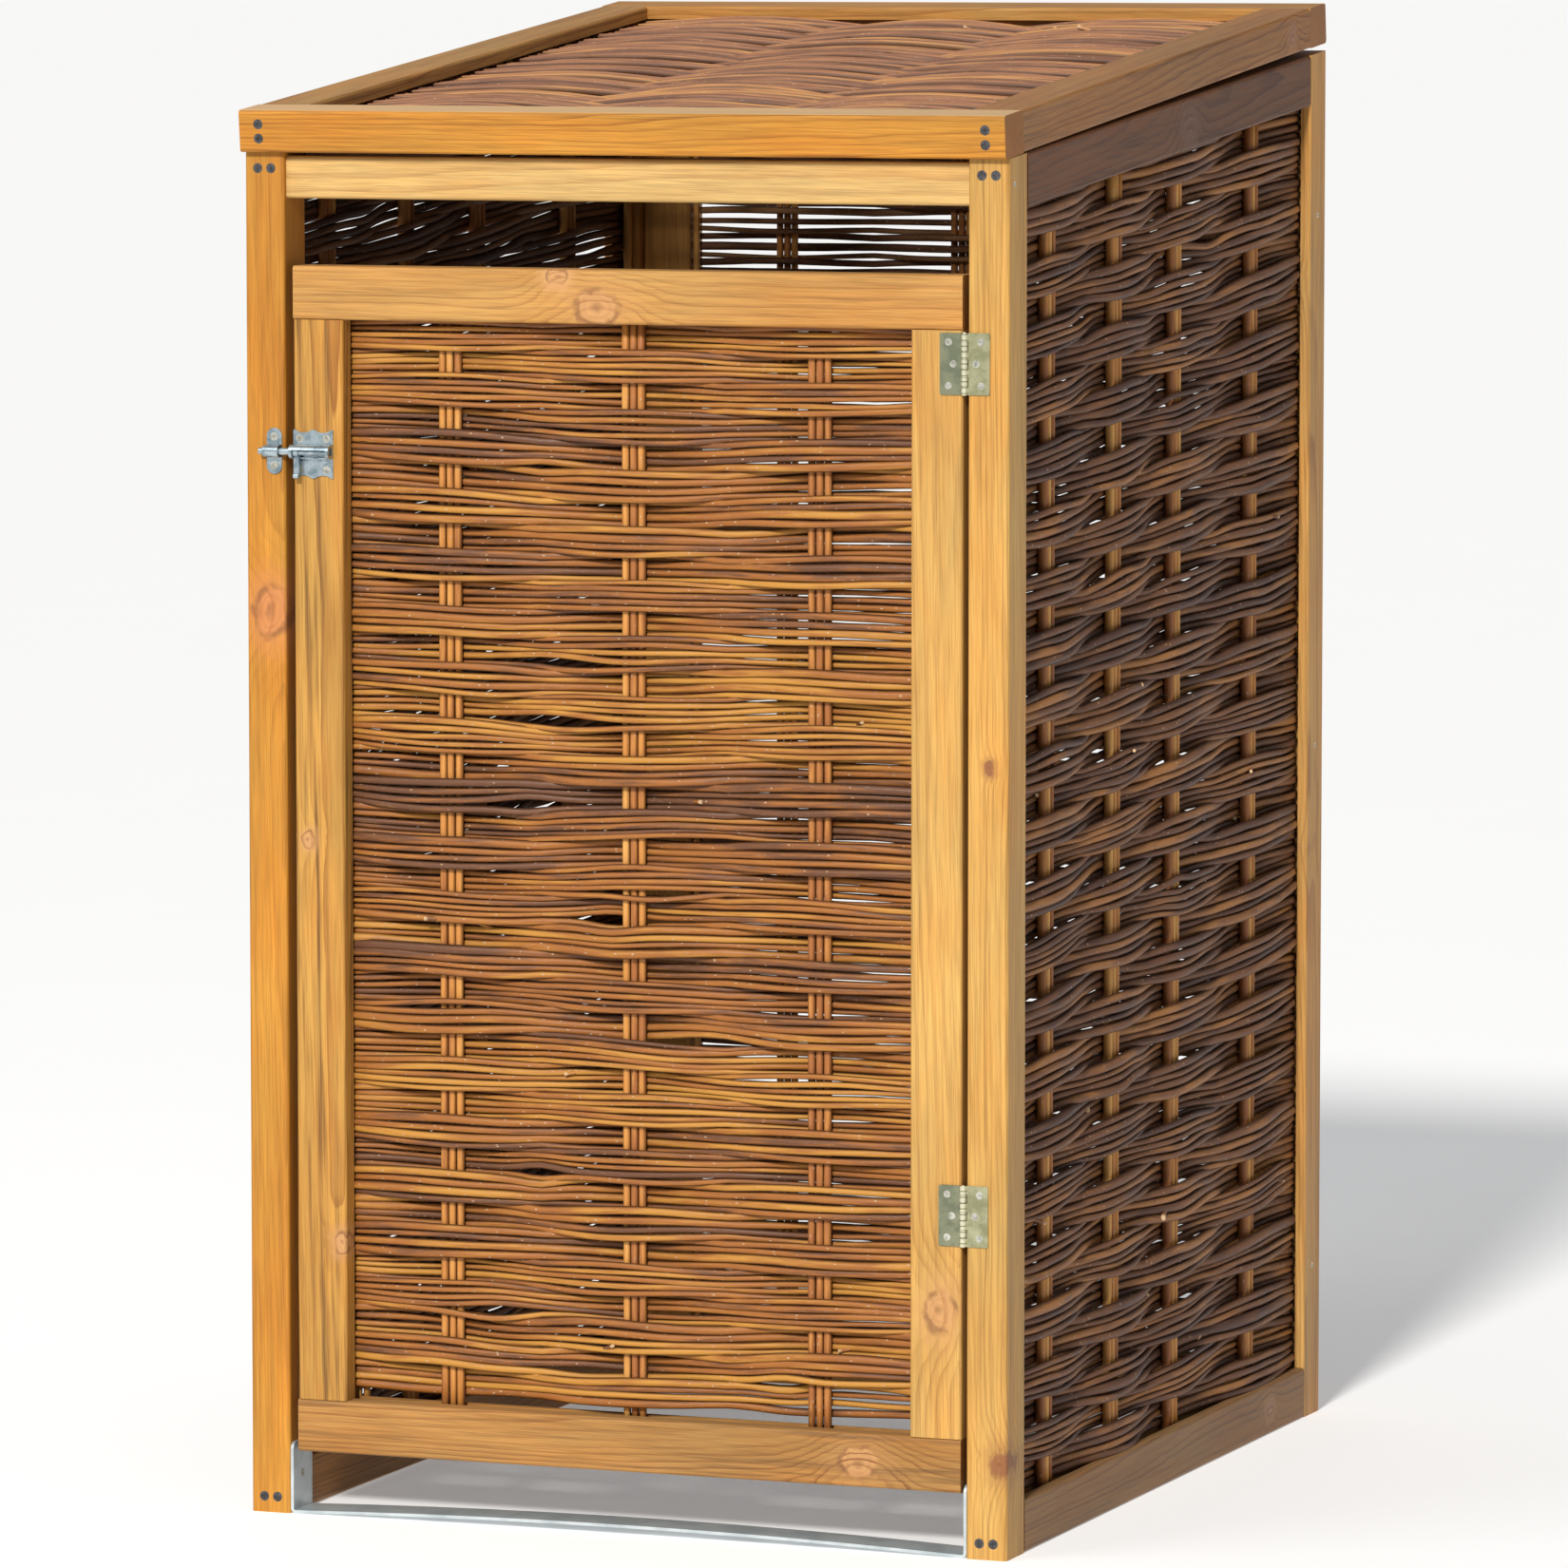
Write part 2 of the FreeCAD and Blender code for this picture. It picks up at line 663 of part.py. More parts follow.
for name, axes in door_hinges.items():
    nodes["door_hinge_post_leaf_" + name] = [hinge_leaf(1, 0, axes)]
    nodes["door_hinge_door_leaf_" + name] = [hinge_leaf(-1, 1, axes)]
    nodes["door_hinge_pin_" + name] = [hinge_pin(axes)]
nodes["post_leaf_screws"] = screws_at(hinge_screw, post_leaf_screws)
nodes["door_leaf_screws"] = screws_at(hinge_screw, door_leaf_screws)


# Sliding bolt: plate with a half barrel and two end loops, rod, and hanging handle

bolt_centre = FreeCAD.Vector(0, bolt_y, bolt_height)


def bolt_plate():
    """Scalloped plate, a barrel open across its front, and a closed loop at each end for the rod."""
    half = bolt_plate_height / 2
    plate = box(plate_x0, plate_x1, plate_face_y, front_y, plate_middle_z - half, plate_middle_z + half)
    chord = bolt_plate_width / 4 - bolt_lobe_width / 2
    radius = (chord ** 2 + bolt_scallop_depth ** 2) / (2 * bolt_scallop_depth)
    cut_front = plate_face_y - cut_overrun
    cut_back = front_y + cut_overrun
    scallops = []
    for share in (0.25, 0.75):
        for way in (-1, 1):
            z = plate_middle_z + way * (half + radius - bolt_scallop_depth)
            centre = FreeCAD.Vector(plate_x0 + share * bolt_plate_width, 0, z)
            scallops.append(cylinder_along(axis_y, radius, cut_front, cut_back, centre))
    plate = plate.cut(scallops)

    outer = cylinder_along(axis_x, bolt_barrel_radius, plate_x0, plate_x1, bolt_centre)
    inner = cylinder_along(axis_x, bolt_barrel_bore, plate_x0, plate_x1, bolt_centre)
    top = bolt_height + bolt_barrel_radius
    bottom = bolt_height - bolt_barrel_radius
    upper = outer.fuse(box(plate_x0, plate_x1, bolt_y, plate_face_y, bolt_height, top))
    front_edge = bolt_height + handle_thickness / 2 + bolt_lip_gap
    upper = upper.common(box(plate_x0, plate_x1, bolt_y - bolt_barrel_radius, plate_face_y, front_edge, top))
    upper = upper.cut([
        inner, box(plate_x0, plate_x1, bolt_y, plate_face_y, bolt_height, bolt_height + bolt_barrel_bore)])
    lip_y = bolt_y + handle_thickness / 2 + bolt_lip_gap
    lip = box(plate_x0, plate_x1, lip_y, plate_face_y, bottom, bolt_height - bolt_barrel_bore)
    pieces = [upper, lip]
    for x0 in (plate_x0, plate_x1 - bolt_loop_width):
        x1 = x0 + bolt_loop_width
        loop = cylinder_along(axis_x, bolt_barrel_radius, x0, x1, bolt_centre)
        pieces.append(loop.fuse(box(x0, x1, bolt_y, plate_face_y, bottom, top)))
    body = joined(plate, *pieces)
    bore = bolt_rod_radius + bolt_rod_clearance
    body = body.cut(cylinder_along(axis_x, bore, plate_x0 - cut_overrun, plate_x1 + cut_overrun, bolt_centre))
    return bored(body, bolt_screw, bolt_plate_screws)


rod_left = keeper_x - keeper_width / 2 - bolt_rod_reach
rod_right = plate_x1 - bolt_loop_width / 2
rod = cylinder_along(axis_x, bolt_rod_radius, rod_left, rod_right, bolt_centre)
rod = rod.makeChamfer(bolt_rod_chamfer, [edge for edge in rod.Edges if isinstance(edge.Curve, Part.Circle)])

handle_x0 = plate_x0 + bolt_loop_width + handle_side_gap
handle_x1 = handle_x0 + handle_width


def bolt_handle():
    """Collar on the rod with a flat arm that hangs down and ends in a curl."""
    inner = bolt_rod_radius + handle_collar_clearance
    collar = cylinder_along(axis_x, handle_collar_radius, handle_x0, handle_x1, bolt_centre)
    low = bolt_height - handle_length
    arm_half = handle_thickness / 2
    arm = box(handle_x0, handle_x1, bolt_y - arm_half, bolt_y + arm_half, low, bolt_height)
    curl_centre = FreeCAD.Vector(0, bolt_y + arm_half - handle_curl_radius, low)
    curl = cylinder_along(axis_x, handle_curl_radius, handle_x0, handle_x1, curl_centre)
    body = joined(collar, arm, curl)
    bore = cylinder_along(axis_x, inner, handle_x0 - cut_overrun, handle_x1 + cut_overrun, bolt_centre)
    return body.cut(bore)


def bolt_keeper():
    """Two feet with rounded ends and a bridge over the rod."""
    half = keeper_width / 2
    reach = keeper_height / 2 - half
    face = front_y - keeper_thickness
    plate = box(keeper_x - half, keeper_x + half, face, front_y, bolt_height - reach, bolt_height + reach)
    ends = [
        cylinder_along(axis_y, half, face, front_y, FreeCAD.Vector(keeper_x, 0, bolt_height + way * reach))
        for way in (-1, 1)
    ]
    inner = bolt_rod_radius + keeper_rod_clearance
    outer = inner + keeper_thickness
    x0 = keeper_x - half
    x1 = keeper_x + half
    bridge = cylinder_along(axis_x, outer, x0, x1, bolt_centre)
    walls = box(x0, x1, bolt_y, front_y, bolt_height - outer, bolt_height + outer)
    cut_x0 = x0 - cut_overrun
    cut_x1 = x1 + cut_overrun
    way_through = cylinder_along(axis_x, inner, cut_x0, cut_x1, bolt_centre)
    opening = box(cut_x0, cut_x1, bolt_y, front_y, bolt_height - inner, bolt_height + inner)
    body = joined(plate, *ends, bridge, walls).cut([way_through, opening])
    return bored(body, bolt_screw, keeper_screws)


nodes["bolt_plate"] = [bolt_plate()]
nodes["bolt_plate_screws"] = screws_at(bolt_screw, bolt_plate_screws)
nodes["bolt_rod"] = [rod]
nodes["bolt_handle"] = [bolt_handle()]
nodes["bolt_keeper"] = [bolt_keeper()]
nodes["keeper_screws"] = screws_at(bolt_screw, keeper_screws)


# Lid: x across, s along the slope from its front edge, h up from its underside

underside_front = front_height + lid_gap_front
underside_rear = rear_height + lid_gap_rear
lid_angle = math.atan2(underside_rear - underside_front, depth)
along_lid = FreeCAD.Vector(0, math.cos(lid_angle), math.sin(lid_angle))
up_lid = FreeCAD.Vector(0, -math.sin(lid_angle), math.cos(lid_angle))
lid_hinge_y = rear_y + hinge_offset
lid_hinge_z = (back_top + underside_rear) / 2
lid_start = FreeCAD.Vector(0, front_y, underside_front)
rear_reach = (FreeCAD.Vector(0, lid_hinge_y, lid_hinge_z) - lid_start).dot(along_lid) - hinge_offset
front_reach = lid_overhang / math.cos(lid_angle)
lid_length = rear_reach + front_reach
lid_axes = axes_at(lid_start - along_lid * front_reach, axis_x, along_lid, up_lid)

lid_inner_x = half_width - batten_wide
lid_inner_length = lid_length - 2 * batten_wide
lid_weft, lid_stakes, lid_groove = woven_panel(
    2 * lid_inner_x, lid_inner_length, lid_inner_length,
    centred_groups(2 * lid_inner_x, lid_group_spacing), lid_weft_pitch, stake_radius)
lid_weave_axes = axes_at(
    FreeCAD.Vector(-lid_inner_x, batten_wide, batten_thin - lid_weave_set_in), axis_x, -axis_z, axis_y)
lid_groove = placed(lid_groove, lid_weave_axes)

lid_screws = []
for x in (lid_screw_inset - half_width, half_width - lid_screw_inset):
    for step in (-0.5, 0.5):
        h = batten_thin / 2 + step * batten_screw_spread
        lid_screws.append(facing(x, 0, h, -axis_y))
        lid_screws.append(facing(x, lid_length, h, axis_y))

lid_hinges = {}
for name, x in (("left", -lid_hinge_x), ("right", lid_hinge_x)):
    pin_centre = FreeCAD.Vector(x, lid_hinge_y, lid_hinge_z)
    lower_axes = axes_at(pin_centre, -axis_z, -axis_y, -axis_x)
    upper_axes = axes_at(pin_centre, -up_lid, -along_lid, -axis_x)
    lid_hinges[name] = (lower_axes, upper_axes)
frame_leaf_screws = [place for lower, upper in lid_hinges.values() for place in leaf_screw_places(1, lower)]
lid_leaf_screws = [place for lower, upper in lid_hinges.values() for place in leaf_screw_places(-1, upper)]


def lid_board(x0, x1, s0, s1, direction):
    """One board of the lid with its groove and its screw holes."""
    piece = rounded(box(x0, x1, s0, s1, 0, batten_thin), direction)
    piece = bored(piece.cut(lid_groove), batten_screw, lid_screws)
    return [bored(placed(piece, lid_axes), hinge_screw, lid_leaf_screws)]


nodes["lid_front_board"] = lid_board(-half_width, half_width, 0, batten_wide, axis_x)
nodes["lid_back_board"] = lid_board(-half_width, half_width, lid_length - batten_wide, lid_length, axis_x)
nodes["lid_side_board_left"] = lid_board(
    -half_width, -lid_inner_x, batten_wide, lid_length - batten_wide, axis_y)
nodes["lid_side_board_right"] = lid_board(
    lid_inner_x, half_width, batten_wide, lid_length - batten_wide, axis_y)
weave_in_place = lid_axes.multiply(lid_weave_axes)
nodes["lid_weft"] = [placed(piece, weave_in_place) for piece in lid_weft]
nodes["lid_stakes"] = [placed(piece, weave_in_place) for piece in lid_stakes]
nodes["lid_board_screws"] = [placed(piece, lid_axes) for piece in screws_at(batten_screw, lid_screws)]

for name, (lower_axes, upper_axes) in lid_hinges.items():
    nodes["lid_hinge_frame_leaf_" + name] = [hinge_leaf(1, 0, lower_axes)]
    nodes["lid_hinge_lid_leaf_" + name] = [hinge_leaf(-1, 1, upper_axes)]
    nodes["lid_hinge_pin_" + name] = [hinge_pin(lower_axes)]
nodes["frame_leaf_screws"] = screws_at(hinge_screw, frame_leaf_screws)
nodes["lid_leaf_screws"] = screws_at(hinge_screw, lid_leaf_screws)
nodes["back_top_rail"] = [bored(nodes["back_top_rail"][0], hinge_screw, frame_leaf_screws)]


# One file for each piece, or for each set of like pieces

os.makedirs("parts", exist_ok=True)
for name, pieces in nodes.items():
    solids = [solid for piece in pieces for solid in piece.Solids]
    shape = solids[0] if len(solids) == 1 else Part.makeCompound(solids)
    shape.exportStep("parts/" + name + ".step")
    print(name, len(solids), round(sum(solid.Volume for solid in solids) / 1000, 2), shape.isValid())
print(len(nodes), "nodes")
print("bolt travel", bolt_plate_width - 2 * (bolt_loop_width + handle_side_gap) - handle_width)
print("door hinge", hinge_x, hinge_y, "lid hinge", lid_hinge_y, lid_hinge_z)
print("bolt axis", bolt_y, bolt_height, "lid angle", math.degrees(lid_angle))
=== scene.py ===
import math

import bpy
import numpy as np
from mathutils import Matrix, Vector


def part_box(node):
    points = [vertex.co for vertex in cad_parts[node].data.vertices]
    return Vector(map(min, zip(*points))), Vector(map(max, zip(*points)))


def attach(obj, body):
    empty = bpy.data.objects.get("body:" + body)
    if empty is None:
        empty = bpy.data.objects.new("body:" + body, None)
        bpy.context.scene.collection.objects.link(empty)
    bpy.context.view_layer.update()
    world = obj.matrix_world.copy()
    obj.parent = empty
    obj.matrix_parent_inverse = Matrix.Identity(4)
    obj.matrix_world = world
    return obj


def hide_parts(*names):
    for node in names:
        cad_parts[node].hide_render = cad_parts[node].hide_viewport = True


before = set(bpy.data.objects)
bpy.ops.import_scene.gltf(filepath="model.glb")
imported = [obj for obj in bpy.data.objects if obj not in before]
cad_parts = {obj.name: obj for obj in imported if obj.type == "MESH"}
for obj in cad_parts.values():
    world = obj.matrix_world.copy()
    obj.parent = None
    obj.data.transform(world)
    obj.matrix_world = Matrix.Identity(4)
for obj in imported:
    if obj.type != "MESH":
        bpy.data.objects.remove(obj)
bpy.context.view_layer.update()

print("frame loaded:", len(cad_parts), "nodes")

origin = (0.0, 0.0, 0.0)
white = (1.0, 1.0, 1.0, 1.0)
black = (0.0, 0.0, 0.0, 1.0)
surfaceLabels = ("Color", "Roughness", "Height")


def treeOf(*values):
    # the node tree of the first socket among some values
    return next(value.id_data for value in values if isinstance(value, bpy.types.NodeSocket))


def put(tree, kind, inputs=None, **settings):
    # one node with its settings; an input that is a socket is linked, any other is a plain value
    node = tree.nodes.new(kind)
    for label, value in settings.items():
        setattr(node, label, value)
    for label, value in (inputs or {}).items():
        if isinstance(value, bpy.types.NodeSocket):
            tree.links.new(value, node.inputs[label])
        else:
            node.inputs[label].default_value = value
    return node


def maths(operation, first, second=0.0, clamp=False):
    # first (operation) second, as one number
    return put(treeOf(first, second), "ShaderNodeMath", {0: first, 1: second},
               operation=operation, use_clamp=clamp).outputs[0]


def times(first, second):
    # first * second
    return maths("MULTIPLY", first, second)


def plus(first, second, clamp=False):
    # first + second
    return maths("ADD", first, second, clamp)


def minus(first, second):
    # first - second
    return maths("SUBTRACT", first, second)


def fromMiddle(value, middle):
    # how far a value lies from a middle one, either way: |value - middle|
    return maths("ABSOLUTE", minus(value, middle))


def vectors(operation, first, second=origin):
    # first (operation) second, as a vector
    return put(treeOf(first, second), "ShaderNodeVectorMath", {0: first, 1: second},
               operation=operation).outputs["Vector"]


def vectorLength(vector):
    # length of a vector
    return put(treeOf(vector), "ShaderNodeVectorMath", {0: vector},
               operation="LENGTH").outputs["Value"]


def dotProduct(vector, way):
    # how much of a vector lies along a way: their dot product
    return put(treeOf(vector), "ShaderNodeVectorMath", {0: vector, 1: way},
               operation="DOT_PRODUCT").outputs["Value"]


def split(vector):
    # x, y and z of a vector
    return put(treeOf(vector), "ShaderNodeSeparateXYZ", {0: vector}).outputs


def joined(x, y, z):
    # a vector from three numbers
    return put(treeOf(x, y, z), "ShaderNodeCombineXYZ", {0: x, 1: y, 2: z}).outputs[0]


def mixed(amount, first, second, way="MIX"):
    # first turning into second as amount goes from 0 to 1
    return put(treeOf(amount, first, second), "ShaderNodeMix", {0: amount, 6: first, 7: second},
               data_type="RGBA", blend_type=way).outputs[2]


def cloudy(vector, scale, detail=2.0, roughness=0.5, kind="3D"):
    # soft noise, as "Fac" and "Color"
    return put(treeOf(vector), "ShaderNodeTexNoise", {
        "W" if kind == "1D" else "Vector": vector, "Scale": scale, "Detail": detail,
        "Roughness": roughness}, noise_dimensions=kind).outputs


def scaled(vector, scale):
    # coordinates scaled along each axis
    return put(treeOf(vector), "ShaderNodeMapping", {"Vector": vector, "Scale": scale}).outputs[0]


def stretched(vector, scale, noiseScale=1.0, detail=2.0, roughness=0.5):
    # soft noise on scaled coordinates
    return cloudy(scaled(vector, scale), noiseScale, detail, roughness)


def cells(vector):
    # round cells: distance from the middle of each, and its three random numbers
    tree = treeOf(vector)
    found = put(tree, "ShaderNodeTexVoronoi", {"Vector": vector, "Scale": 1.0}).outputs
    return found["Distance"], put(tree, "ShaderNodeSeparateColor", {0: found["Color"]}).outputs


def steps(value, low, high, outLow=0.0, outHigh=1.0):
    # smooth step: outLow below low, outHigh above high, an S curve between
    return put(treeOf(value), "ShaderNodeMapRange", {
        "Value": value, "From Min": low, "From Max": high, "To Min": outLow, "To Max": outHigh,
    }, interpolation_type="SMOOTHSTEP").outputs[0]


def greyRamp(value, stops):
    # grey ramp through (place, brightness) stops
    node = put(treeOf(value), "ShaderNodeValToRGB", {0: value})
    points = node.color_ramp.elements
    while len(points) < len(stops):
        points.new(0.5)
    for point, (where, grey) in zip(points, stops):
        point.position = where
        point.color = (grey, grey, grey, 1.0)
    return node.outputs[0]


def socketKind(value):
    # four numbers are a colour, three a vector, one a plain number
    size = len(value) if isinstance(value, tuple) else 1
    return {4: "NodeSocketColor", 3: "NodeSocketVector", 1: "NodeSocketFloat"}[size]


def nodeGroup(name, inputs, outputs):
    # an empty shader node group; gives its tree, what comes in and what goes out
    tree = bpy.data.node_groups.new(name, "ShaderNodeTree")
    for label, value in inputs.items():
        kind = socketKind(value)
        socket = tree.interface.new_socket(name=label, in_out="INPUT", socket_type=kind)
        socket.default_value = value
    for label in outputs:
        kind = socketKind(white if label == "Color" else 0.0)
        tree.interface.new_socket(name=label, in_out="OUTPUT", socket_type=kind)
    return tree, tree.nodes.new("NodeGroupInput").outputs, tree.nodes.new("NodeGroupOutput").inputs


def feed(tree, sockets, values):
    # links each value to the socket of its name
    for label, value in values.items():
        tree.links.new(value, sockets[label])


def place(tree, group, inputs):
    # a shared group inside a material, with this material's own values
    return put(tree, "ShaderNodeGroup", inputs, node_tree=group).outputs


def newMaterial(name, fixed):
    # a node material; the fixed values sit on the shader's own sockets
    material = bpy.data.materials.new(name)
    material.use_nodes = True
    tree = material.node_tree
    shader = tree.nodes["Principled BSDF"].inputs
    for label, value in fixed.items():
        shader[label].default_value = value
    return material, tree, shader


def bumped(tree, shader, height, depth, strength=1.0):
    # a height map as a bump of that depth in metres
    bump = put(tree, "ShaderNodeBump", {"Height": height, "Distance": depth, "Strength": strength})
    feed(tree, shader, {"Normal": bump.outputs[0]})


def colour(red, green, blue):
    # a colour socket's value
    return (red, green, blue, 1.0)


def buildPineGrain():
    # rings are cylinders round the pith, bent by slow noise and pushed aside by knots:
    # ring = (distance from the pith + push) / spacing, and its fraction climbs from pale early
    # wood to a dark late-wood line, then drops
    tree, given, out = nodeGroup("pineGrain", {
        "Vector": origin, "Ring spacing": 0.003, "Waviness": 0.02, "Tone": 0.5, "Streaks": 0.3,
        "Line strength": 0.6, "Knot push": 0.0, "Knot": 0.0, "Knot rim": 0.0, "Knot halo": 0.0,
        "Pale": white, "Orange": white, "Late wood": white, "Stain": white, "Knot heart": white,
    }, surfaceLabels)
    where = given["Vector"]
    slow = stretched(where, (7.0, 7.0, 1.1), 1.6, 4.0, 0.55)
    bend = vectors("SUBTRACT", slow["Color"], (0.5, 0.5, 0.5))
    bend = vectors("MULTIPLY", bend, (1.0, 1.0, 0.0))
    bend = put(tree, "ShaderNodeVectorMath", {0: bend, "Scale": given["Waviness"]},
               operation="SCALE")
    bent = vectors("ADD", where, bend.outputs["Vector"])
    radius = vectorLength(vectors("MULTIPLY", bent, (1.0, 1.0, 0.0)))
    ring = maths("DIVIDE", plus(radius, given["Knot push"]), given["Ring spacing"])
    late = greyRamp(maths("FRACT", ring), [
        (0.0, 0.0), (0.50, 0.08), (0.84, 0.75), (0.94, 1.0), (1.0, 0.0)])
    uneven = cloudy(ring, 0.31, kind="1D")["Fac"]
    late = times(late, steps(uneven, 0.35, 0.7, 0.25, 1.0))
    late = times(late, given["Line strength"])
    fibre = stretched(where, (900.0, 900.0, 14.0), 1.0, 2.0, 0.7)["Fac"]
    broad = stretched(where, (170.0, 170.0, 4.0), 1.0, 3.0, 0.6)["Fac"]
    blotch = stretched(where, (22.0, 22.0, 5.0), 1.0, 4.0, 0.65)["Fac"]
    blotch = times(minus(blotch, 0.5), 2.6)
    wood = mixed(plus(given["Tone"], blotch, True), given["Pale"], given["Orange"])
    wood = mixed(late, wood, given["Late wood"])
    streak = times(steps(broad, 0.5, 0.72), given["Streaks"])
    wood = mixed(streak, wood, given["Stain"])
    pores = steps(fibre, 0.30, 0.62, 0.78, 1.06)
    worn = stretched(where, (14.0, 14.0, 2.2), 1.0, 4.0, 0.6)["Fac"]
    shade = times(pores, steps(worn, 0.28, 0.72, 0.80, 1.14))
    wood = mixed(1.0, wood, joined(shade, shade, shade), "MULTIPLY")
    wood = mixed(given["Knot halo"], wood, given["Knot heart"])
    lines = maths("MULTIPLY", late, 1.4, True)
    heart = mixed(lines, given["Knot heart"], given["Late wood"])
    wood = mixed(times(given["Knot"], 0.8), wood, heart)
    wood = mixed(given["Knot rim"], wood, colour(0.15, 0.055, 0.024))
    relief = plus(times(late, 0.5), times(fibre, 0.6))
    relief = minus(relief, times(given["Knot rim"], 0.8))
    roughness = plus(0.40, times(fibre, 0.22))
    feed(tree, out, {"Color": wood, "Roughness": roughness, "Height": relief})
    return tree


def buildTimberKnot():
    # d = length((point - place) / size), measured in the face's own plane: a branch stub inside
    # d < 1 with a dark heart and a faint ring, a broken soft rim at d = 1, a reddish halo that is
    # longer along the grain, and a push exp(-0.16 d^2) that swings the wood's rings round it
    tree, given, out = nodeGroup("timberKnot", {
        "Vector": origin, "Place": origin, "Inverse size": (60.0, 0.0, 60.0), "Push": 0.006,
        "Halo": 0.4}, ("Push", "Knot", "Rim", "Halo"))
    where = given["Vector"]
    ragged = stretched(where, (70.0, 70.0, 70.0), 1.0, 3.0)["Color"]
    ragged = vectors("SUBTRACT", ragged, (0.5, 0.5, 0.5))
    ragged = vectors("MULTIPLY", ragged, (0.013, 0.013, 0.013))
    offset = vectors("ADD", vectors("SUBTRACT", where, given["Place"]), ragged)
    away = vectorLength(vectors("MULTIPLY", offset, given["Inverse size"]))
    broken = stretched(where, (48.0, 48.0, 48.0), 1.0, 3.0)["Fac"]
    rim = steps(fromMiddle(away, 1.0), 0.0, 0.30, 0.62, 0.0)
    rim = times(rim, steps(broken, 0.40, 0.60, 0.08, 1.0))
    centre = steps(away, 0.0, 0.50, 0.50, 0.0)
    innerRing = steps(fromMiddle(away, 0.62), 0.0, 0.18, 0.16, 0.0)
    fade = maths("EXPONENT", times(times(away, away), -0.16))
    feed(tree, out, {
        "Knot": steps(away, 0.80, 1.05, 1.0, 0.0),
        "Rim": maths("MAXIMUM", rim, maths("MAXIMUM", centre, innerRing)),
        "Halo": times(steps(away, 0.9, 2.6, 1.0, 0.0), given["Halo"]),
        "Push": times(fade, given["Push"])})
    return tree


def buildWillowBark():
    # bark along a withy: slow colour drift, fine streaks along its length, small pale pores, a
    # dark leaf scar here and there, and painted shade in the seams where withies touch; x of the
    # vector runs along the withy in metres, y goes once round it, z is the withy's own number
    tree, given, out = nodeGroup("willowBark", {
        "Vector": origin, "Tone": 0.5, "Cut": 0.0, "Deep": black, "Middle": black, "Pale": black,
        "Bloom": 0.2, "Seam": 0.0, "Seam shade": 0.8}, surfaceLabels)
    where = given["Vector"]
    drift = stretched(where, (9.0, 1.0, 1.0))["Fac"]
    streak = stretched(where, (30.0, 7.0, 1.0), 1.0, 3.0, 0.6)["Fac"]
    fine = stretched(where, (240.0, 9.0, 1.0), 1.0, 2.0, 0.7)["Fac"]
    tone = plus(given["Tone"], times(minus(drift, 0.5), 1.5))
    tone = plus(tone, times(minus(streak, 0.5), 1.1), True)
    bark = mixed(steps(tone, 0.0, 0.5), given["Deep"], given["Middle"])
    bark = mixed(steps(tone, 0.5, 1.0), bark, given["Pale"])
    bloom = times(steps(fine, 0.55, 0.8), given["Bloom"])
    bark = mixed(bloom, bark, colour(0.42, 0.33, 0.27))
    pores = cells(scaled(where, (150.0, 5.0, 3.0)))
    pore = steps(pores[0], 0.10, 0.22, 1.0, 0.0)
    pore = times(pore, steps(pores[1][0], 0.72, 0.76))
    bark = mixed(times(pore, 0.75), bark, colour(0.55, 0.38, 0.24))
    parts = split(where)
    along = times(plus(parts[0], times(parts[2], 0.37)), 16.0)
    scars = cells(joined(along, times(parts[1], 2.0), parts[2]))
    picked = steps(scars[1][1], 0.62, 0.66)
    scar = times(steps(scars[0], 0.03, 0.09, 1.0, 0.0), picked)
    swelling = times(steps(scars[0], 0.08, 0.24, 1.0, 0.0), picked)
    bark = mixed(times(swelling, 0.35), bark, given["Pale"])
    bark = mixed(times(scar, 0.75), bark, colour(0.05, 0.024, 0.014))
    # painted shade: where a withy faces its neighbours, the bark turns towards a near-black deep
    # colour
    seamShade = times(steps(given["Seam"], 0.50, 0.98), given["Seam shade"])
    bark = mixed(seamShade, bark, mixed(0.75, given["Deep"], colour(0.012, 0.007, 0.005)))
    bark = mixed(given["Cut"], bark, colour(0.68, 0.47, 0.27))
    relief = plus(times(streak, 0.6), times(pore, 0.5))
    relief = plus(relief, times(swelling, 0.9))
    relief = minus(relief, times(scar, 0.9))
    roughness = plus(0.34, times(streak, 0.3))
    feed(tree, out, {"Color": bark, "Roughness": roughness, "Height": relief})
    return tree


def buildMetalWear():
    # plated steel: cloudy smudges, fine scratches along one axis and tiny specks
    tree, given, out = nodeGroup("metalWear", {
        "Vector": origin, "Cloud size": 60.0, "Scratch": (900.0, 900.0, 30.0), "Bright": white,
        "Dull": white, "Specks": 0.3, "Rough low": 0.3, "Rough high": 0.5}, surfaceLabels)
    where = given["Vector"]
    smudge = cloudy(where, given["Cloud size"], 4.0, 0.6)["Fac"]
    smudge = steps(smudge, 0.38, 0.66)
    scratch = cloudy(vectors("MULTIPLY", where, given["Scratch"]), 1.0)["Fac"]
    metal = mixed(smudge, given["Bright"], given["Dull"])
    speck = steps(cloudy(where, 900.0, 1.0)["Fac"], 0.66, 0.72)
    metal = mixed(times(speck, given["Specks"]), metal, colour(0.09, 0.07, 0.05))
    span = minus(given["Rough high"], given["Rough low"])
    span = times(span, times(plus(smudge, scratch), 0.5))
    relief = plus(times(scratch, 0.6), times(smudge, 0.4))
    roughness = plus(given["Rough low"], span)
    feed(tree, out, {"Color": metal, "Roughness": roughness, "Height": relief})
    return tree


pineGrain = buildPineGrain()
timberKnot = buildTimberKnot()
willowBark = buildWillowBark()
metalWear = buildMetalWear()
print("shared effects built:", len(bpy.data.node_groups))


def nodePoints(name):
    # the corners of a frame node's mesh, one row each
    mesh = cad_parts[name].data
    points = np.empty(len(mesh.vertices) * 3)
    mesh.vertices.foreach_get("co", points)
    return points.reshape(-1, 3)


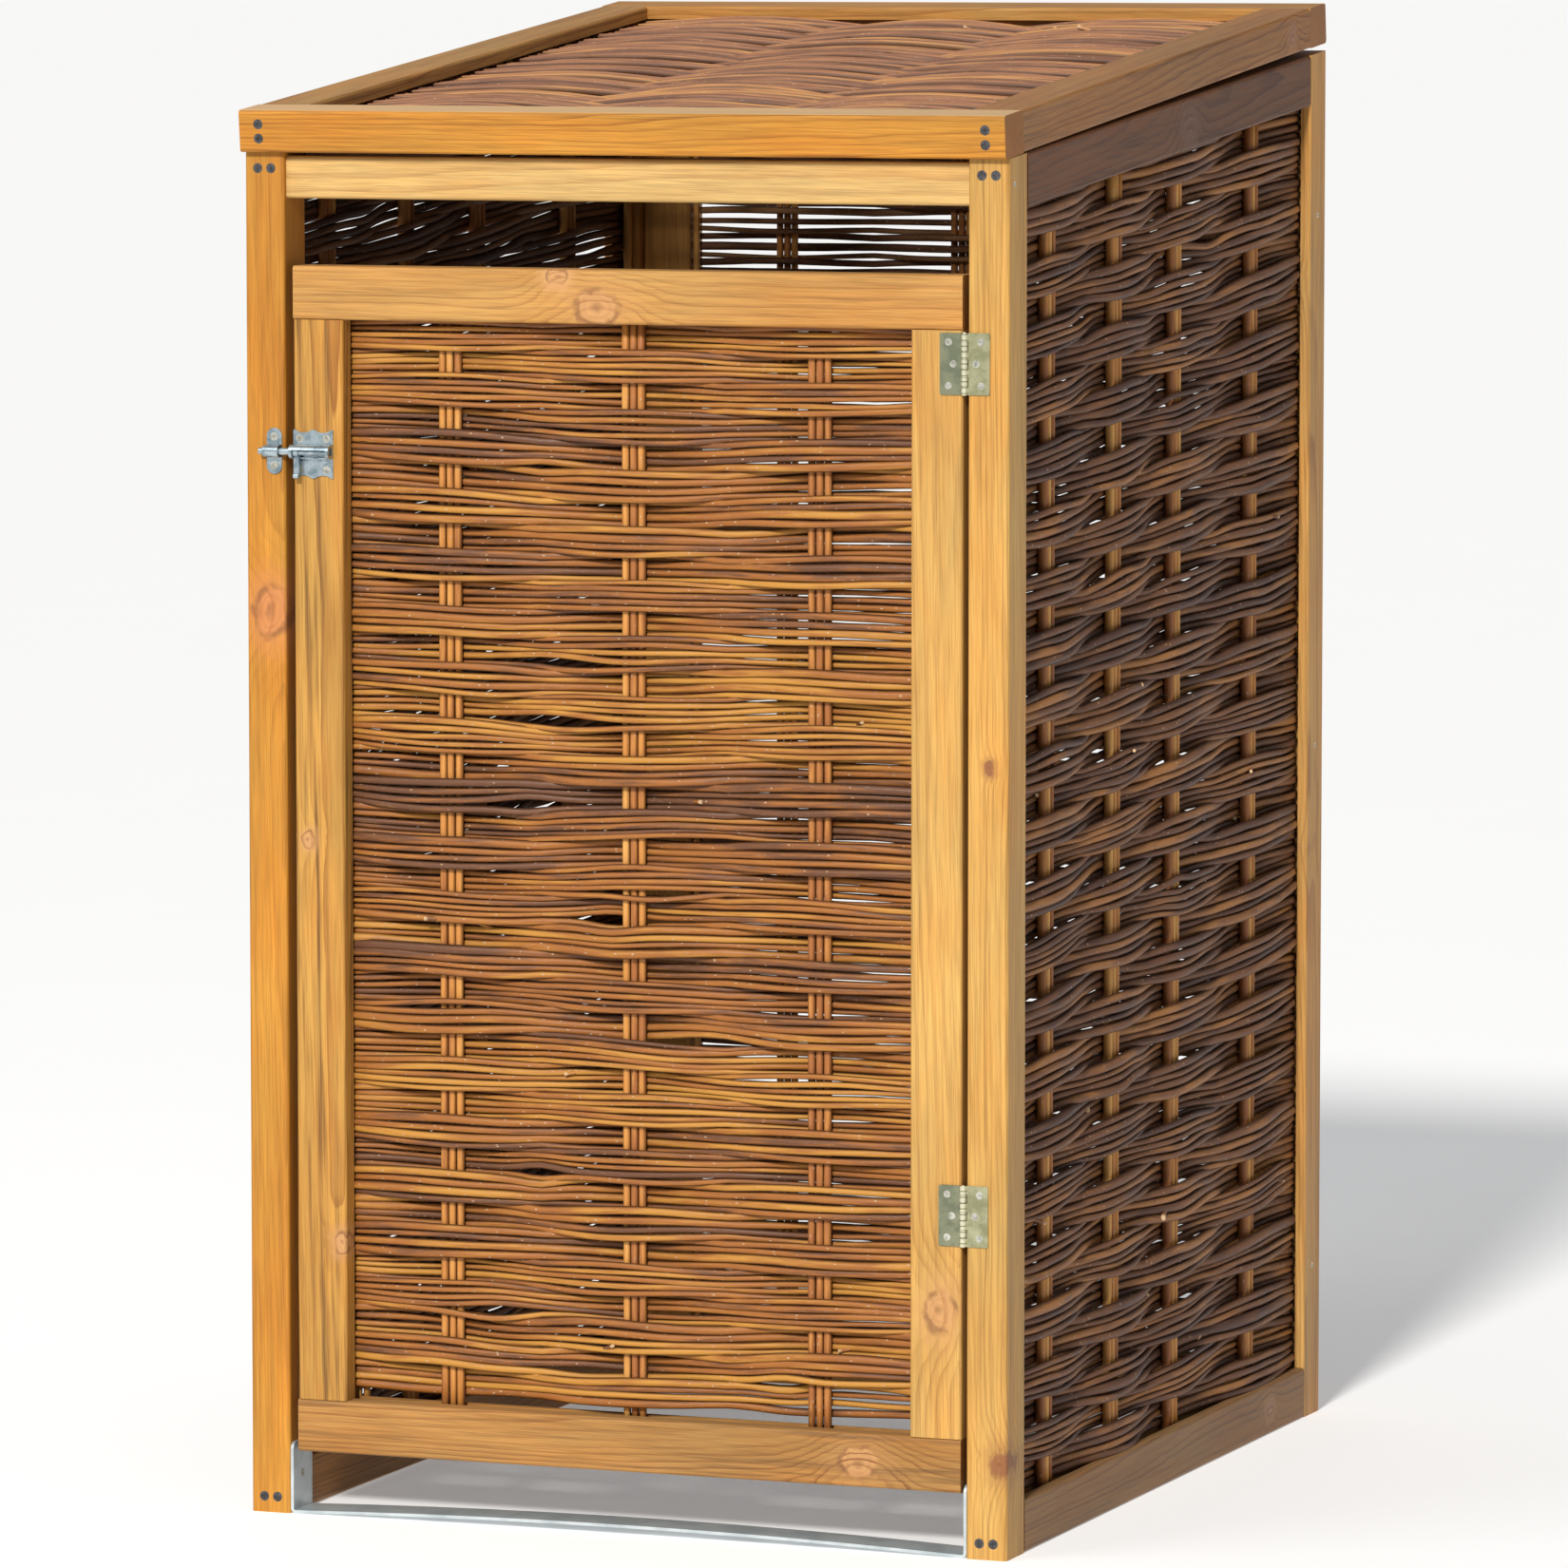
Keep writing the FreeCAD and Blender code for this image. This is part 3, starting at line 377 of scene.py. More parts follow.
def upwardFace(name):
    # outward direction of the largest face that looks up
    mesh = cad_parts[name].data
    area = np.empty(len(mesh.polygons))
    normal = np.empty(len(mesh.polygons) * 3)
    mesh.polygons.foreach_get("area", area)
    mesh.polygons.foreach_get("normal", normal)
    normal = normal.reshape(-1, 3)
    best = np.argmax(np.where(normal[:, 2] > 0.9, area, 0.0))
    return normal[best] / np.linalg.norm(normal[best])


def addObject(name, data):
    # a new object at the origin, unturned
    made = bpy.data.objects.new(name, data)
    bpy.context.scene.collection.objects.link(made)
    return made


lidUp = upwardFace("lid_side_board_right")
lidAlong = np.array([0.0, lidUp[2], -lidUp[1]])
railUp = upwardFace("side_top_rail_right")
railAlong = np.array([0.0, railUp[2], -railUp[1]])

pineSet = {
    "pale": (0.62, 0.355, 0.115),
    "orange": (0.60, 0.27, 0.062),
    "lateWood": (0.26, 0.085, 0.018),
    "stain": (0.20, 0.095, 0.034),
    "paintedTopLight": (0.95, 0.72, 0.44),  # painted light and sheen: upward faces paler, as if more brightly lit
    "paintedTopLightShare": 0.35,
    "endGrain": 0.55,             # how dark the battens' ends are
    "bumpDepth": 0.0004,
    "bumpStrength": 0.7,
    "knotSquash": 0.72,           # a knot's size across the grain, over its size along it
    "knotDepth": 0.030,           # how far a knot runs inward from the outer face
    "knotPush": 1.3,              # how far the rings swing round it, over its size
}
pineGloss = {"Specular IOR Level": 0.28, "Coat Roughness": 0.3, "Coat Weight": 0.03}
usualBatten = dict(rings=0.0035, tone=0.6, streaks=0.35, lines=0.6, tint=(0.80, 0.74, 0.62),
                   heart=(0.55, 0.285, 0.110), tilt=0.03, paintedTopLightAmount=0.1, knots=[])
# grain direction, the pith's offset across the batten, ring spacing, tone from yellow to orange,
# dark streaks, strength of the late-wood lines, tint, colour of the knots, and the knots as
# (share across, share along, size, halo)
battens = {
    "front_post_left": dict(
        grain="z", pith=(0.05, 0.07), rings=0.004, tone=0.75, streaks=0.25, lines=0.45,
        tint=(0.87, 0.76, 0.34), heart=(0.55, 0.215, 0.07), knots=[(0.62, 0.663, 0.014, 0.55)]),
    "front_post_right": dict(
        grain="z", pith=(-0.06, 0.05), rings=0.0036, tone=0.45, streaks=0.25, lines=0.5,
        tint=(0.91, 0.96, 0.83), heart=(0.24, 0.085, 0.038),
        knots=[(0.55, 0.566, 0.004, 0.5), (0.8, 0.07, 0.008, 0.3)]),
    "rear_post_left": dict(grain="z", pith=(0.04, 0.06), rings=0.004),
    "rear_post_right": dict(
        grain="z", pith=(0.05, -0.05), tint=(0.92, 0.93, 0.86),
        knots=[(0.5, 0.42, 0.006, 0.5), (0.3, 0.83, 0.007, 0.6)]),
    "side_top_rail_left": dict(
        grain="rail", pith=(0.04, 0.05), rings=0.003, streaks=0.4, lines=0.8,
        tint=(0.55, 0.5, 0.5)),
    "side_top_rail_right": dict(
        grain="rail", pith=(0.03, 0.02), rings=0.0042, tone=0.4, streaks=0.7, lines=1.0, tilt=0.07,
        tint=(0.255, 0.165, 0.118), heart=(0.15, 0.07, 0.04), knots=[(0.45, 0.55, 0.01, 0.7)]),
    "side_bottom_rail_left": dict(
        grain="y", pith=(0.03, 0.05), lines=0.7, tint=(0.6, 0.55, 0.5),
        knots=[(0.5, 0.3, 0.006, 0.5)]),
    "side_bottom_rail_right": dict(
        grain="y", pith=(0.05, 0.04), rings=0.0032, tone=0.5, streaks=0.45, lines=0.7,
        tint=(0.46, 0.43, 0.44), heart=(0.36, 0.19, 0.1), knots=[(0.5, 0.87, 0.006, 0.6)]),
    "head_rail": dict(
        grain="x", pith=(0.09, 0.05), rings=0.005, tone=0.2, streaks=0.2, lines=0.4,
        tint=(1.0, 1.12, 1.24)),
    "back_stile_left": dict(grain="z", pith=(0.05, 0.03), rings=0.004, tone=0.5),
    "back_stile_right": dict(
        grain="z", pith=(-0.04, 0.06), rings=0.004, tone=0.5, knots=[(0.4, 0.55, 0.008, 0.5)]),
    "back_bottom_rail": dict(grain="x", pith=(0.05, 0.04), knots=[(0.5, 0.7, 0.009, 0.5)]),
    "back_top_rail": dict(grain="x", pith=(0.06, 0.03), rings=0.0032, tone=0.55, streaks=0.3),
    "door_top_rail": dict(
        grain="x", pith=(0.05, 0.055), rings=0.0042, tone=0.3, lines=0.5, tint=(0.84, 0.78, 0.66),
        knots=[(0.33, 0.46, 0.013, 0.25), (0.85, 0.4, 0.006, 0.8)]),
    "door_bottom_rail": dict(
        grain="x", pith=(0.03, 0.03), rings=0.003, tone=0.45, streaks=0.55, lines=0.85,
        tint=(0.66, 0.62, 0.56), knots=[(0.45, 0.85, 0.012, 0.2)]),
    "door_stile_left": dict(
        grain="z", pith=(0.035, 0.04), rings=0.006, tone=0.3, streaks=1.0, lines=0.8,
        tint=(0.82, 0.76, 0.5), knots=[(0.3, 0.52, 0.005, 0.5), (0.9, 0.147, 0.006, 0.6)]),
    "door_stile_right": dict(
        grain="z", pith=(0.045, 0.06), rings=0.0048, tone=0.2, streaks=0.25, lines=0.5,
        tint=(0.96, 0.98, 0.84), knots=[(0.6, 0.116, 0.012, 0.45)]),
    "lid_front_board": dict(
        grain="x", pith=(0.03, 0.045), rings=0.0026, tone=0.7, lines=0.75, paintedTopLightAmount=0.7,
        tint=(0.85, 0.73, 0.32)),
    "lid_back_board": dict(grain="x", pith=(0.04, 0.05), rings=0.0034, streaks=0.3),
    "lid_side_board_left": dict(
        grain="lid", pith=(0.05, 0.04), rings=0.0034, tone=0.45, streaks=0.45, lines=0.7),
    "lid_side_board_right": dict(
        grain="lid", pith=(0.035, 0.03), rings=0.003, tone=0.5, streaks=0.45, lines=0.8,
        tint=(0.6, 0.5, 0.46), heart=(0.36, 0.17, 0.09), knots=[(0.5, 0.93, 0.006, 0.7)]),
}
grainWays = {
    "x": Vector((1, 0, 0)), "y": Vector((0, 1, 0)), "z": Vector((0, 0, 1)),
    "rail": Vector(railAlong), "lid": Vector(lidAlong),
}


def knotSpot(name, batten, knot):
    # middle of a knot on the face it shows on, and one over its size along each axis; a knot runs
    # inward from the outer face and fades with depth
    low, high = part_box(name)
    across, along, size = knot[:3]
    run = {"x": 0, "y": 1, "z": 2, "rail": 1, "lid": 1}[batten["grain"]]
    through = 0 if run == 1 else 1
    side = 3 - run - through
    middle = (low + high) / 2
    spot = middle.copy()
    spot[side] = low[side] + across * (high[side] - low[side])
    spot[run] = low[run] + along * (high[run] - low[run])
    if batten["grain"] in ("rail", "lid"):  # the batten slopes, so its middle climbs along it
        slope = grainWays[batten["grain"]]
        spot[side] = middle[side] + (spot[run] - middle[run]) * slope.z / slope.y
    outer = low[1] if through == 1 else high[0]
    if name.startswith("side_") and name.endswith("_left"):
        outer = low[0]
    if name.startswith("back_"):
        outer = high[1]
    spot[through] = outer
    inverse = [0.0, 0.0, 0.0]
    inverse[side] = 1 / size
    inverse[run] = pineSet["knotSquash"] / size
    inverse[through] = 1 / pineSet["knotDepth"]
    return spot, inverse


def knotValues(tree, where, name, batten):
    # all knots of a batten added up, for the grain's knot inputs
    labels = {"Knot push": "Push", "Knot": "Knot", "Knot rim": "Rim", "Knot halo": "Halo"}
    values = {}
    for knot in batten["knots"]:
        spot, inverse = knotSpot(name, batten, knot)
        found = place(tree, timberKnot, {
            "Vector": where, "Place": spot, "Inverse size": inverse,
            "Push": knot[2] * pineSet["knotPush"], "Halo": knot[3]})
        for label, source in labels.items():
            added = found[source]
            values[label] = plus(values[label], added) if label in values else added
    return values


def tinted(name, tint):
    # one of the shared pine colours times the batten's own tint
    return colour(*(part * tone for part, tone in zip(pineSet[name], tint)))


def pineMaterial(name, batten):
    # the batten's own cut of pine: coordinates are moved to the pith and turned along the grain
    material, tree, shader = newMaterial("pine_" + name, pineGloss)
    coordinates = tree.nodes.new("ShaderNodeTexCoord").outputs
    where = coordinates["Object"]
    low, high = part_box(name)
    way = grainWays[batten["grain"]]
    turn = way.to_track_quat("Z", "Y")
    tilt = Vector((0.5, -0.3, 0.0)) * batten["tilt"]
    turn = (turn @ (Vector((0, 0, 1)) + tilt)).to_track_quat("Z", "Y")
    pith = (low + high) / 2 + turn @ Vector((*batten["pith"], 0.0))
    inWood = put(tree, "ShaderNodeMapping", {
        "Vector": where, "Location": pith, "Rotation": turn.to_euler()}, vector_type="TEXTURE")
    tint = batten["tint"]
    wood = place(tree, pineGrain, {
        "Vector": inWood.outputs[0], "Ring spacing": batten["rings"], "Tone": batten["tone"],
        "Streaks": batten["streaks"], "Line strength": batten["lines"],
        "Pale": tinted("pale", tint), "Orange": tinted("orange", tint),
        "Late wood": tinted("lateWood", tint), "Stain": tinted("stain", tint),
        "Knot heart": colour(*batten["heart"]), **knotValues(tree, where, name, batten)})
    facing = maths("ABSOLUTE", dotProduct(coordinates["Normal"], way))
    endGrain = steps(facing, 0.75, 0.95, 0.0, pineSet["endGrain"])
    shown = mixed(endGrain, wood["Color"], tinted("lateWood", tint))
    # painted light and sheen: faces that look up are mixed towards a pale colour, by each batten's
    # share
    upward = split(coordinates["Normal"])[2]
    paintedTopLight = mixed(pineSet["paintedTopLightShare"], colour(*pineSet["paintedTopLight"]), wood["Color"])
    shown = mixed(steps(upward, 0.75, 0.95, 0.0, batten["paintedTopLightAmount"]), shown, paintedTopLight)
    feed(tree, shader, {"Base Color": shown, "Roughness": wood["Roughness"]})
    bumped(tree, shader, wood["Height"], pineSet["bumpDepth"], pineSet["bumpStrength"])
    return material


def dress(name, material):
    # a frame node keeps its mesh and takes a new material
    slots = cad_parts[name].data.materials
    slots.clear()
    slots.append(material)


for battenName, battenValues in battens.items():
    dress(battenName, pineMaterial(battenName, {**usualBatten, **battenValues}))
print("battens dressed:", len(battens))

allWays = (900.0, 900.0, 900.0)
doorPin = dict(pin="door_hinge_pin_upper", plane=(1, 1, 0))
usualMetal = dict(scratch=allWays, specks=0.25, metallic=0.85, bump=0.00012)
# brighter and duller colour, least and most roughness, size of the smudges, scratches along each
# axis, specks, and for leaves the pin that their knuckles sit on and the plane across it
metalSet = {
    # both leaves of a door hinge are one metal: the post leaf's paler colour and the door leaf's
    # darker one are painted reflection
    "post_leaf": dict(
        bright=(0.50, 0.49, 0.30), dull=(0.30, 0.30, 0.17), rough=(0.24, 0.44), cloud=90.0,
        scratch=(900.0, 900.0, 60.0), **doorPin),
    "door_leaf": dict(
        bright=(0.30, 0.31, 0.20), dull=(0.18, 0.20, 0.13), rough=(0.26, 0.46), cloud=70.0,
        scratch=(900.0, 900.0, 60.0), **doorPin),
    "lid_hinge_leaf": dict(
        bright=(0.52, 0.50, 0.29), dull=(0.36, 0.35, 0.20), rough=(0.30, 0.48), cloud=70.0,
        scratch=(60.0, 900.0, 900.0), pin="lid_hinge_pin_left", plane=(0, 1, 1)),
    "hinge_pin": dict(
        bright=(0.72, 0.71, 0.62), dull=(0.55, 0.54, 0.46), rough=(0.22, 0.38), cloud=200.0,
        scratch=(300.0, 300.0, 900.0), specks=0.1, metallic=1.0, bump=0.00005),
    "zinc": dict(
        bright=(0.44, 0.52, 0.56), dull=(0.20, 0.27, 0.31), rough=(0.20, 0.38), cloud=110.0,
        scratch=(200.0, 900.0, 900.0), specks=0.12, metallic=0.8, bump=0.0001),
    "bright_screw": dict(
        bright=(0.72, 0.71, 0.62), dull=(0.40, 0.39, 0.33), rough=(0.22, 0.40), cloud=300.0,
        specks=0.1, metallic=0.9, bump=0.00005),
    "dark_screw": dict(
        bright=(0.10, 0.095, 0.10), dull=(0.045, 0.043, 0.045), rough=(0.40, 0.62), cloud=300.0,
        specks=0.2, metallic=0.6, bump=0.00008),
    "galvanised": dict(
        bright=(0.60, 0.66, 0.68), dull=(0.42, 0.48, 0.50), rough=(0.34, 0.52), cloud=28.0,
        scratch=(12.0, 700.0, 700.0), specks=0.15, metallic=0.45, bump=0.00015),
}
metalNodes = {
    "post_leaf": ["door_hinge_post_leaf_upper", "door_hinge_post_leaf_lower"],
    "door_leaf": ["door_hinge_door_leaf_upper", "door_hinge_door_leaf_lower"],
    "lid_hinge_leaf": ["lid_hinge_frame_leaf_left", "lid_hinge_frame_leaf_right",
                       "lid_hinge_lid_leaf_left", "lid_hinge_lid_leaf_right"],
    "hinge_pin": ["door_hinge_pin_upper", "door_hinge_pin_lower",
                  "lid_hinge_pin_left", "lid_hinge_pin_right"],
    "zinc": ["bolt_plate", "bolt_rod", "bolt_handle", "bolt_keeper"],
    "bright_screw": ["post_leaf_screws", "door_leaf_screws", "frame_leaf_screws",
                     "lid_leaf_screws", "bolt_plate_screws", "keeper_screws", "strap_screws",
                     "side_nails"],
    "dark_screw": ["post_screws", "door_frame_screws", "back_frame_screws", "lid_board_screws"],
    "galvanised": ["threshold_strap"],
}
knuckleSet = {
    "radius": (0.0029, 0.0032),   # where the barrel's painted highlight ends and the leaf begins
    "spacing": 0.0046,            # from one knuckle's joint to the next
    # painted highlight along the barrel of the knuckles
    "bright": (0.80, 0.77, 0.56),
    "joint": (0.24, 0.21, 0.12),
}


def withKnuckles(where, values, shown):
    # knuckles with a painted highlight on the barrel and dark joints: what lies close to the
    # middle line of the pin
    pinLow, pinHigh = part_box(values["pin"])
    offset = vectors("SUBTRACT", where, (pinLow + pinHigh) / 2)
    away = vectorLength(vectors("MULTIPLY", offset, values["plane"]))
    axis = tuple(1.0 - part for part in values["plane"])
    turn = maths("DIVIDE", dotProduct(where, axis), knuckleSet["spacing"])
    turn = fromMiddle(maths("FRACT", turn), 0.5)
    joint = steps(turn, 0.05, 0.16, 0.85, 0.0)
    knuckle = mixed(joint, colour(*knuckleSet["bright"]), colour(*knuckleSet["joint"]))
    return mixed(steps(away, *knuckleSet["radius"], 0.9, 0.0), shown, knuckle)


def metalMaterial(name, values):
    # plated steel with its smudges, scratches and specks
    fixed = {"Metallic": values["metallic"], "Specular IOR Level": 0.5}
    material, tree, shader = newMaterial(name, fixed)
    where = tree.nodes.new("ShaderNodeTexCoord").outputs["Object"]
    low, high = values["rough"]
    wear = place(tree, metalWear, {
        "Vector": where, "Cloud size": values["cloud"], "Scratch": values["scratch"],
        "Bright": colour(*values["bright"]), "Dull": colour(*values["dull"]),
        "Specks": values["specks"], "Rough low": low, "Rough high": high})
    shown = wear["Color"]
    if "pin" in values:
        shown = withKnuckles(where, values, shown)
    feed(tree, shader, {"Base Color": shown, "Roughness": wear["Roughness"]})
    bumped(tree, shader, wear["Height"], values["bump"], 0.6)
    return material


for metalName, metalValues in metalSet.items():
    finish = metalMaterial(metalName, {**usualMetal, **metalValues})
    for nodeName in metalNodes[metalName]:
        dress(nodeName, finish)
print("fittings dressed:", sum(len(names) for names in metalNodes.values()))

across, deep, high = np.eye(3)
# each bark: deep, middle and pale colours, grey bloom, the strength of the painted shade in the
# seams where withies touch, and gloss
barkColours = {
    "golden": dict(deep=(0.125, 0.050, 0.022), middle=(0.31, 0.108, 0.020),
                   pale=(0.47, 0.215, 0.034), bloom=0.16, seamShade=0.92, gloss=0.32),
    "shaded": dict(deep=(0.085, 0.040, 0.027), middle=(0.175, 0.076, 0.036),
                   pale=(0.36, 0.155, 0.048), bloom=0.10, seamShade=0.85, gloss=0.16),
    "inner": dict(deep=(0.070, 0.035, 0.024), middle=(0.17, 0.075, 0.035),
                  pale=(0.32, 0.16, 0.065), bloom=0.16, seamShade=0.80, gloss=0.18),
    "rose": dict(deep=(0.21, 0.100, 0.062), middle=(0.37, 0.172, 0.092),
                 pale=(0.54, 0.265, 0.100), bloom=0.30, seamShade=0.80, gloss=0.29),
    # the stakes' golden bark is brighter than the weft's partly as painted sunlight on their
    # faces, and their seams take less painted shade
    "stake": dict(deep=(0.33, 0.115, 0.032), middle=(0.54, 0.225, 0.050),
                  pale=(0.70, 0.36, 0.095), bloom=0.15, seamShade=0.40, gloss=0.29),
}
usualPanel = dict(body="housing", up=high, stakeRadius=0.0032, rise=0.0, points=48)
sidePanel = dict(usualPanel, weft=deep, rows=42, rodsInRow=[4, 4, 5, 4], stakeRadius=0.0040,
                 groups=(0.12, 0.345, 0.555, 0.835), meander=0.0028, points=64)
# the weft runs along "weft", the stakes along "up", and "inward" points from the outer face to
# the inside; the four battens are the ones that the panel sits between; groups are the places of
# the stakes as shares of the width; fill is a withy's thickness over its part of the row, meander
# how far the rows drift, slits the gaps that open between rows, and stubs the cut side shoots
willowPanels = {
    "door": dict(
        usualPanel, body="door", weft=across, inward=deep, seed=11, bark="golden", rows=38,
        battens=("door_stile_left", "door_stile_right", "door_bottom_rail", "door_top_rail"),
        nodes=("door_weft", "door_stakes"), groups=(0.1736, 0.5, 0.8264), rise=0.009,
        rodsInRow=[4, 4, 5, 4, 5], fill=1.14, meander=0.0025, slits=14, slitOpening=0.0050,
        stubs=7),
    "rightSide": dict(
        sidePanel, inward=-across, seed=23, bark="shaded",
        battens=("front_post_right", "rear_post_right", "side_bottom_rail_right",
                 "side_top_rail_right"),
        nodes=("side_weft_right", "side_stakes_right"), fill=1.19, slits=11, slitOpening=0.0036,
        stubs=14),
    "leftSide": dict(
        sidePanel, inward=across, seed=37, bark="inner",
        battens=("front_post_left", "rear_post_left", "side_bottom_rail_left",
                 "side_top_rail_left"),
        nodes=("side_weft_left", "side_stakes_left"), fill=1.18, slits=14, slitOpening=0.0056,
        stubs=12),
    "back": dict(
        usualPanel, weft=-across, inward=-deep, seed=41, bark="inner", rows=47, rodsInRow=[3],
        battens=("back_stile_right", "back_stile_left", "back_bottom_rail", "back_top_rail"),
        nodes=("back_weft", "back_stakes"), groups=(0.1734, 0.5, 0.8266), fill=0.80,
        meander=0.0010, slits=10, slitOpening=0.0020, stubs=6),
    "lid": dict(
        usualPanel, body="lid", weft=across, inward=-lidUp, up=lidAlong, seed=53, bark="rose",
        battens=("lid_side_board_left", "lid_side_board_right", "lid_front_board",
                 "lid_back_board"),
        nodes=("lid_weft", "lid_stakes"), groups=(0.1809, 0.5, 0.8191), rows=32,
        rodsInRow=[4, 4, 5], fill=1.06, meander=0.0040, slits=18, slitOpening=0.0026, stubs=8,
        points=52),
}
willowSet = {
    "sides": 7,               # faces round a withy of the weft
    "stakeSides": 9,
    "intoGroove": 0.0070,     # how far each end goes into the battens' grooves
    "stakeGap": 0.0004,       # between the three stakes of a group
    "bendClearance": 0.0003,  # between a withy and the stake that it passes
    "thickSpread": 0.12,      # how much the withies differ in thickness
    "taper": 0.13,            # from the middle of a withy to its thick and thin ends
    "depthJitter": 0.0012,    # neighbours lie this much in front of and behind one another
    "rowSpread": 0.22,        # how far a row opens where it passes a stake
    "slitLength": (0.018, 0.050),
    "slitReach": 0.016,       # how far from a slit its push on the withies fades
    "stakePoints": 30,
    "stubLength": (0.008, 0.016),
    "stubLean": 0.38,         # how much a cut side shoot leans out of the panel
    "stubThickness": 0.62,    # over its withy's
    "barkBump": 0.0005,
}


def softNoise(rng, first, second, firstLength, secondLength, waves=12):
    # a sum of sine waves of random direction and phase over two measures, about 1 high at most
    turns = rng.uniform(-1.0, 1.0, (waves, 2))
    phase = rng.uniform(0.0, 2.0 * math.pi, waves)
    angle = first[..., None] / firstLength * turns[:, 0]
    angle = angle + second[..., None] / secondLength * turns[:, 1]
    return np.sin(2.0 * math.pi * angle + phase).sum(-1) / math.sqrt(waves) * 0.9


def panelPlace(panel):
    # where the panel's opening starts and ends, along the weft and up the stakes; the upper batten
    # may slope, so its lower edge is read at both ends
    start = (nodePoints(panel["battens"][0]) @ panel["weft"]).max()
    end = (nodePoints(panel["battens"][1]) @ panel["weft"]).min()
    low = (nodePoints(panel["battens"][2]) @ panel["up"]).max()
    upper = nodePoints(panel["battens"][3])
    upperAlong = upper @ panel["weft"]
    upperHeight = upper @ panel["up"]
    first = upperHeight[upperAlong < upperAlong.min() + 0.001].min()
    last = upperHeight[upperAlong > upperAlong.max() - 0.001].min()
    depth = nodePoints(panel["nodes"][0]) @ panel["inward"]
    return dict(start=start, end=end, low=low, first=first, last=last,
                middle=(depth.min() + depth.max()) / 2,
                upperStart=upperAlong.min(), upperEnd=upperAlong.max())


def inSpace(panel, along, depth, height):
    # points from their places along the weft, inward and up the stakes
    return (along[..., None] * panel["weft"] + depth[..., None] * panel["inward"]
            + height[..., None] * panel["up"])


def topAt(spot, along):
    # height of the opening's upper edge at a place along the weft
    return np.interp(along, [spot["upperStart"], spot["upperEnd"]], [spot["first"], spot["last"]])


def swingAt(panel, spot, along):
    # +1 and -1 in turn at the stake groups and 0 at both ends: cos(pi * phase), where phase counts
    # the groups passed
    length = spot["end"] - spot["start"]
    knots = [spot["start"] - willowSet["intoGroove"]]
    knots += [spot["start"] + share * length for share in panel["groups"]]
    knots += [spot["end"] + willowSet["intoGroove"]]
    phases = [-0.5] + list(range(len(panel["groups"]))) + [len(panel["groups"]) - 0.5]
    return np.cos(math.pi * np.interp(along, knots, phases))


def weftLines(panel, spot, rng):
    # centre lines and radii of all withies of a panel: each row is a stack of withies that fills
    # its share of the height, swings past the stakes opposite to its neighbours, and drifts up
    # and down by slow noise; slits push the withies above and below them apart
    rows = panel["rows"]
    count = rng.choice(panel["rodsInRow"], rows)
    row = np.repeat(np.arange(rows), count)
    first = np.cumsum(count) - count
    thick = rng.normal(1.0, willowSet["thickSpread"], len(row)).clip(0.72, 1.32)
    rowSum = np.add.reduceat(thick, first)
    share = thick / rowSum[row]
    running = np.cumsum(share) - share / 2 - row
    groove = willowSet["intoGroove"]
    along = np.linspace(spot["start"] - groove, spot["end"] + groove, panel["points"])
    low = spot["low"] + panel["rise"]
    pitch = (topAt(spot, along) - low) / rows
    meanPitch = pitch.mean()
    radius = share * meanPitch * panel["fill"] / 2
    swing = swingAt(panel, spot, along)
    spread = 1.0 + willowSet["rowSpread"] * np.abs(swing)
    height = low + (row[:, None] + 0.5) * pitch + (running - 0.5)[:, None] * pitch * spread
    alongAll = np.broadcast_to(along, height.shape)
    fade = np.clip(np.minimum(height - low, topAt(spot, along) - height) / 0.03, 0.0, 1.0)
    height = height + fade * panel["meander"] * softNoise(rng, alongAll, height, 0.42, 0.16)
    height = height + fade * 0.35 * panel["meander"] * softNoise(rng, alongAll, height, 0.14, 0.05)
    own = np.broadcast_to(rng.uniform(0.0, 40.0, len(row))[:, None], height.shape)
    height = height + 0.0005 * softNoise(rng, alongAll, own, 0.09, 1.0)
    slitAlong = rng.uniform(spot["start"] + 0.03, spot["end"] - 0.03, panel["slits"])
    slitRow = rng.integers(1, rows, panel["slits"])
    slitHeight = low + slitRow * meanPitch
    slitLength = rng.uniform(*willowSet["slitLength"], panel["slits"])
    slitSize = rng.uniform(0.35, 1.0, panel["slits"]) * panel["slitOpening"]
    gap = height[:, np.abs(along[:, None] - slitAlong).argmin(0)] - slitHeight
    push = np.where(gap > 0.0, 1.0, -1.0) * slitSize
    push = (push * np.exp(-np.abs(gap) / willowSet["slitReach"]))[:, None, :]
    push = push * np.exp(-((alongAll[..., None] - slitAlong) / slitLength) ** 2)
    height = height + push.sum(-1)
    reach = panel["stakeRadius"] + willowSet["bendClearance"] + radius
    side = np.where(row % 2 == 0, 1.0, -1.0)
    depth = spot["middle"] + (side * reach)[:, None] * swing
    jitter = np.where(np.arange(len(row)) % 2 == 0, 1.0, -1.0) * willowSet["depthJitter"]
    jitter = jitter * rng.uniform(0.6, 1.0, len(row))
    depth = depth + jitter[:, None] * (1.0 - np.abs(swing))
    depth = depth + 0.0004 * softNoise(rng, alongAll, own, 0.12, 1.0)
    thickEnd = rng.choice([-1.0, 1.0], len(row))
    middle = (spot["start"] + spot["end"]) / 2
    slant = 2.0 * (along - middle) / (spot["end"] - spot["start"])
    widths = radius[:, None] * (1.0 + willowSet["taper"] * thickEnd[:, None] * slant)
    widths = widths * (1.0 + 0.035 * softNoise(rng, alongAll, own, 0.03, 1.0))
    return inSpace(panel, alongAll, depth, height), widths


